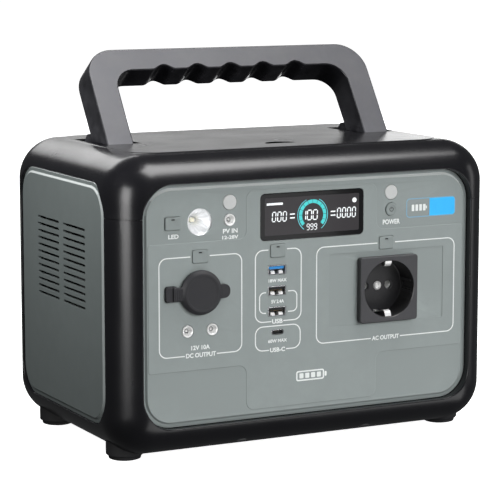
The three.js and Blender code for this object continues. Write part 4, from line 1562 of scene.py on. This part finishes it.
def makeUsbA(index, z):
    front, middle = panelValues["face"] - usbValues["proud"], controlValues["usbX"]
    place = (middle, z)
    shell = tube(roundedOutline(13.7, 6.3, 0.7, place, 3), roundedOutline(12.5, 5.1, 0.35, place, 3), front,
                 front + 14, front + 13)
    addPiece(f"usb_a_shell_{index}", shell, "brushedSteel", f"usb_a_port_{index}")
    outline = roundedOutline(11.1, 1.8, 0.25, (middle, z + 1.35), 2)
    blade = solid(outline, softRings(front + 0.8, front + 12.7, 0.2))
    finish, slot = ("tongueBlue", "tongue_blue") if index == 1 else ("darkPlastic", "tongue_black")
    addPiece(f"usb_a_blade_{index}", blade, finish, f"usb_a_tongue_{index}")
    pads, springs = bmesh.new(), bmesh.new()
    for pad in range(usbValues["pads"]):
        x = middle - 3.6 + pad * usbValues["padPitch"]
        addBox(pads, (x - 0.55, front + 1.3, z + 0.25), (x + 0.55, front + 9, z + 0.43))
    addPiece(f"usb_a_contacts_{index}", pads, "goldContact")
    outline = [(y + front, z + rise) for y, rise in usbValues["spring"]]
    half = usbValues["springHalf"]
    for side in (-1, 1):
        x = middle + side * usbValues["springX"]
        addSolid(springs, outline, flat(x - half, x + half), facingSide)
    addPiece(f"usb_a_springs_{index}", springs, "brightNickel")


def makeUsbC():
    front, place = panelValues["face"] - usbValues["proud"], controlValues["usbC"]
    shell = tube(roundedOutline(9.1, 3.3, 1.64, place, 8), roundedOutline(8.4, 2.6, 1.29, place, 8), front,
                 front + 8, front + 7)
    addPiece("usb_c_shell", shell, "brushedSteel", "usb_c_port")
    blade = solid(roundedOutline(6.2, 0.8, 0.3, place, 3), softRings(front + 0.8, front + 6.7, 0.15))
    addPiece("usb_c_blade", blade, "darkPlastic", "usb_c_tongue")
    pads = bmesh.new()
    for pad in range(usbValues["smallPads"]):
        x = place[0] - 2.25 + pad * usbValues["smallPitch"]
        for side in (-1, 1):
            addPost(pads, (x, place[1] + side * 0.42), (0.22, 0.03), front + 1.2, front + 5)
    addPiece("usb_c_contacts", pads, "goldContact")


for portIndex, portHeight in enumerate(controlValues["usbRows"]):
    makeUsbA(portIndex + 1, portHeight)
makeUsbC()
print("ports made")

# mains socket

socketValues = {
    "plate": 46.2,
    "proud": 5.0,
    "well": 19.75,
    "wellDepth": 17.5,
    "floor": 2.5,
    "pins": 19.0,
    "hole": 2.9,
    "clipWidth": 5.0,
    "clipReach": 18.2,
    "clipThick": 0.55,
    "clip": [(1.6, 0.9), (2.0, -0.6), (3.2, -2.2), (5.2, -2.9), (8.0, -2.3), (12, -0.8), (15, 0.0)],
    "contact": [(2.45, 10), (2.45, 0.8), (2.9, 0.3), (3.4, 0.3), (3.4, 12), (1.2, 12), (1.2, 10)],
    "screw": [(0, -1.9), (1.6, -1.85), (2.4, -1.5), (3.1, -0.7), (3.2, -0.3), (1.5, -0.3)],
}


def socketLevels():
    # the front of the plate, the floor of the well and the back of the cup
    face = panelValues["face"] - socketValues["proud"]
    floor = face + socketValues["wellDepth"]
    return face, floor, floor + socketValues["floor"]


def makeSocket():
    x, z = centre = controlValues["socket"]
    face, floor, back = socketLevels()
    size, well = socketValues["plate"], socketValues["well"]
    rings = softRings(face, panelValues["face"] - 0.25, 0.9, 4)
    plate = solid(roundedOutline(size, size, 2.0, centre, 6), rings)
    socket = toObject("mains_socket", plate, "socketBlack")
    combine(socket, turned(rod(controlValues["cupRadius"], face + 2, back), centre, 72), "UNION")
    hollow = [(0, floor), (well - 0.8, floor), (well - 0.2, floor - 0.3), (well, floor - 1.0),
              (well, face + 0.7), (well + 0.15, face + 0.3), (well + 0.5, face), (well + 0.5, face - 1),
              (0, face - 1)]
    combine(socket, turned(hollow, centre, 72))
    # painted shade: the inside of the well and the plate's sides that look left, right or down get a darker
    # finish
    socket.data.materials.append(finishes["wellBlack"])
    for polygon in socket.data.polygons:
        spot = polygon.center / mm
        inside = math.hypot(spot.x - x, spot.z - z) < well + 0.6 and spot.y > face + 0.05
        edge = abs(polygon.normal.x) > 0.7 or polygon.normal.z < -0.7
        polygon.material_index = 1 if inside or edge and spot.y > face + 0.6 else 0
    cuts, guides = bmesh.new(), bmesh.new()
    for side in (-1, 1):
        pin = (x + side * socketValues["pins"] / 2, z)
        addSolid(cuts, circleOutline(socketValues["hole"], pin, 32),
                 [(0.35, floor - 0.5), (0.35, floor + 0.05), (0, floor + 0.5), (0, back + 1)])
        addPost(cuts, (x, z + side * socketValues["clipReach"]), (2.8, 1), floor - 1, back + 1)
        # side grooves for the plug's guide ribs
        addPost(cuts, (x + side * (well + 0.2), z), (1.4, 2.3), face + 2.5, floor - 1.2)
        for lean in (-1, 1):
            addPost(guides, (x + side * (well - 0.35), z + lean * 4.0), (0.5, 0.8), face + 3.2, floor + 0.2)
    addSolid(cuts, circleOutline(1.9, centre, 24), flat(floor - 1, back + 1))
    combine(socket, cuts)
    combine(socket, guides, "UNION")
    finishPiece(socket, "ac_socket")


def makeEarthClips():
    x, z = centre = controlValues["socket"]
    face, _, back = socketLevels()
    half, reach, thick = socketValues["clipWidth"] / 2, socketValues["clipReach"], socketValues["clipThick"]
    clips = bmesh.new()
    for side in (-1, 1):
        # a sprung strip that bows in towards the plug
        shape = [(face + y, rise) for y, rise in socketValues["clip"]] + [(back + 1.3, 0.0)]
        line = [(y, z + side * (reach + rise)) for y, rise in shape]
        outline = line + [(y, value + side * thick) for y, value in reversed(line)]
        if side < 0:
            outline.reverse()
        addSolid(clips, outline, flat(x - half, x + half), facingSide)
    addPost(clips, centre, (half, reach + thick), back + 0.3, back + 1.3)
    hole = turned(rod(2, back - 2, back + 4), centre, 28)
    addPiece("earth_clip_strip", clips, "brightNickel", "ac_earth_clip", cut=hole)


def makeContacts():
    x, z = centre = controlValues["socket"]
    _, floor, back = socketLevels()
    for name, side in (("live", -1), ("neutral", 1)):
        place = (x + side * socketValues["pins"] / 2, z)
        contact = turned(shifted(socketValues["contact"], back), place, 40)
        slit = addPost(bmesh.new(), place, (0.3, 5), back - 1, back + 8)
        addPiece(f"mains_contact_{name}", contact, "brightNickel", f"ac_contact_{name}", cut=slit)
    profile = shifted(socketValues["screw"], floor) + [(1.5, back + 6), (0, back + 7)]
    head = toObject("mains_screw", turned(profile, centre, 36), "brightNickel")
    cutCross(head, centre, 0.5, 2.1, floor - 3, floor - 1.0)
    finishPiece(head, "ac_socket_screw")


makeSocket()
makeEarthClips()
makeContacts()
print("mains socket made")

# carried-over inner parts

innerFinishes = {
    "hinge_pin_left": "brushedSteel",
    "hinge_pin_right": "brushedSteel",
    "display_module": "circuitGreen",
    "car_socket_contact": "brightNickel",
    "battery_pack": "batteryWrap",
    "battery_bracket": "brushedSteel",
    "bms_board": "circuitGreen",
    "inverter_board": "circuitGreen",
    "heat_sink": "sinkAluminium",
    "control_board": "circuitGreen",
    "fan_frame": "darkPlastic",
    "fan_rotor": "darkPlastic",
}
for nodeName, finishName in innerFinishes.items():
    innerPart = frame["nodes"][nodeName]
    innerPart.data.materials.clear()
    innerPart.data.materials.append(finishes[finishName])
print("inner parts finished")
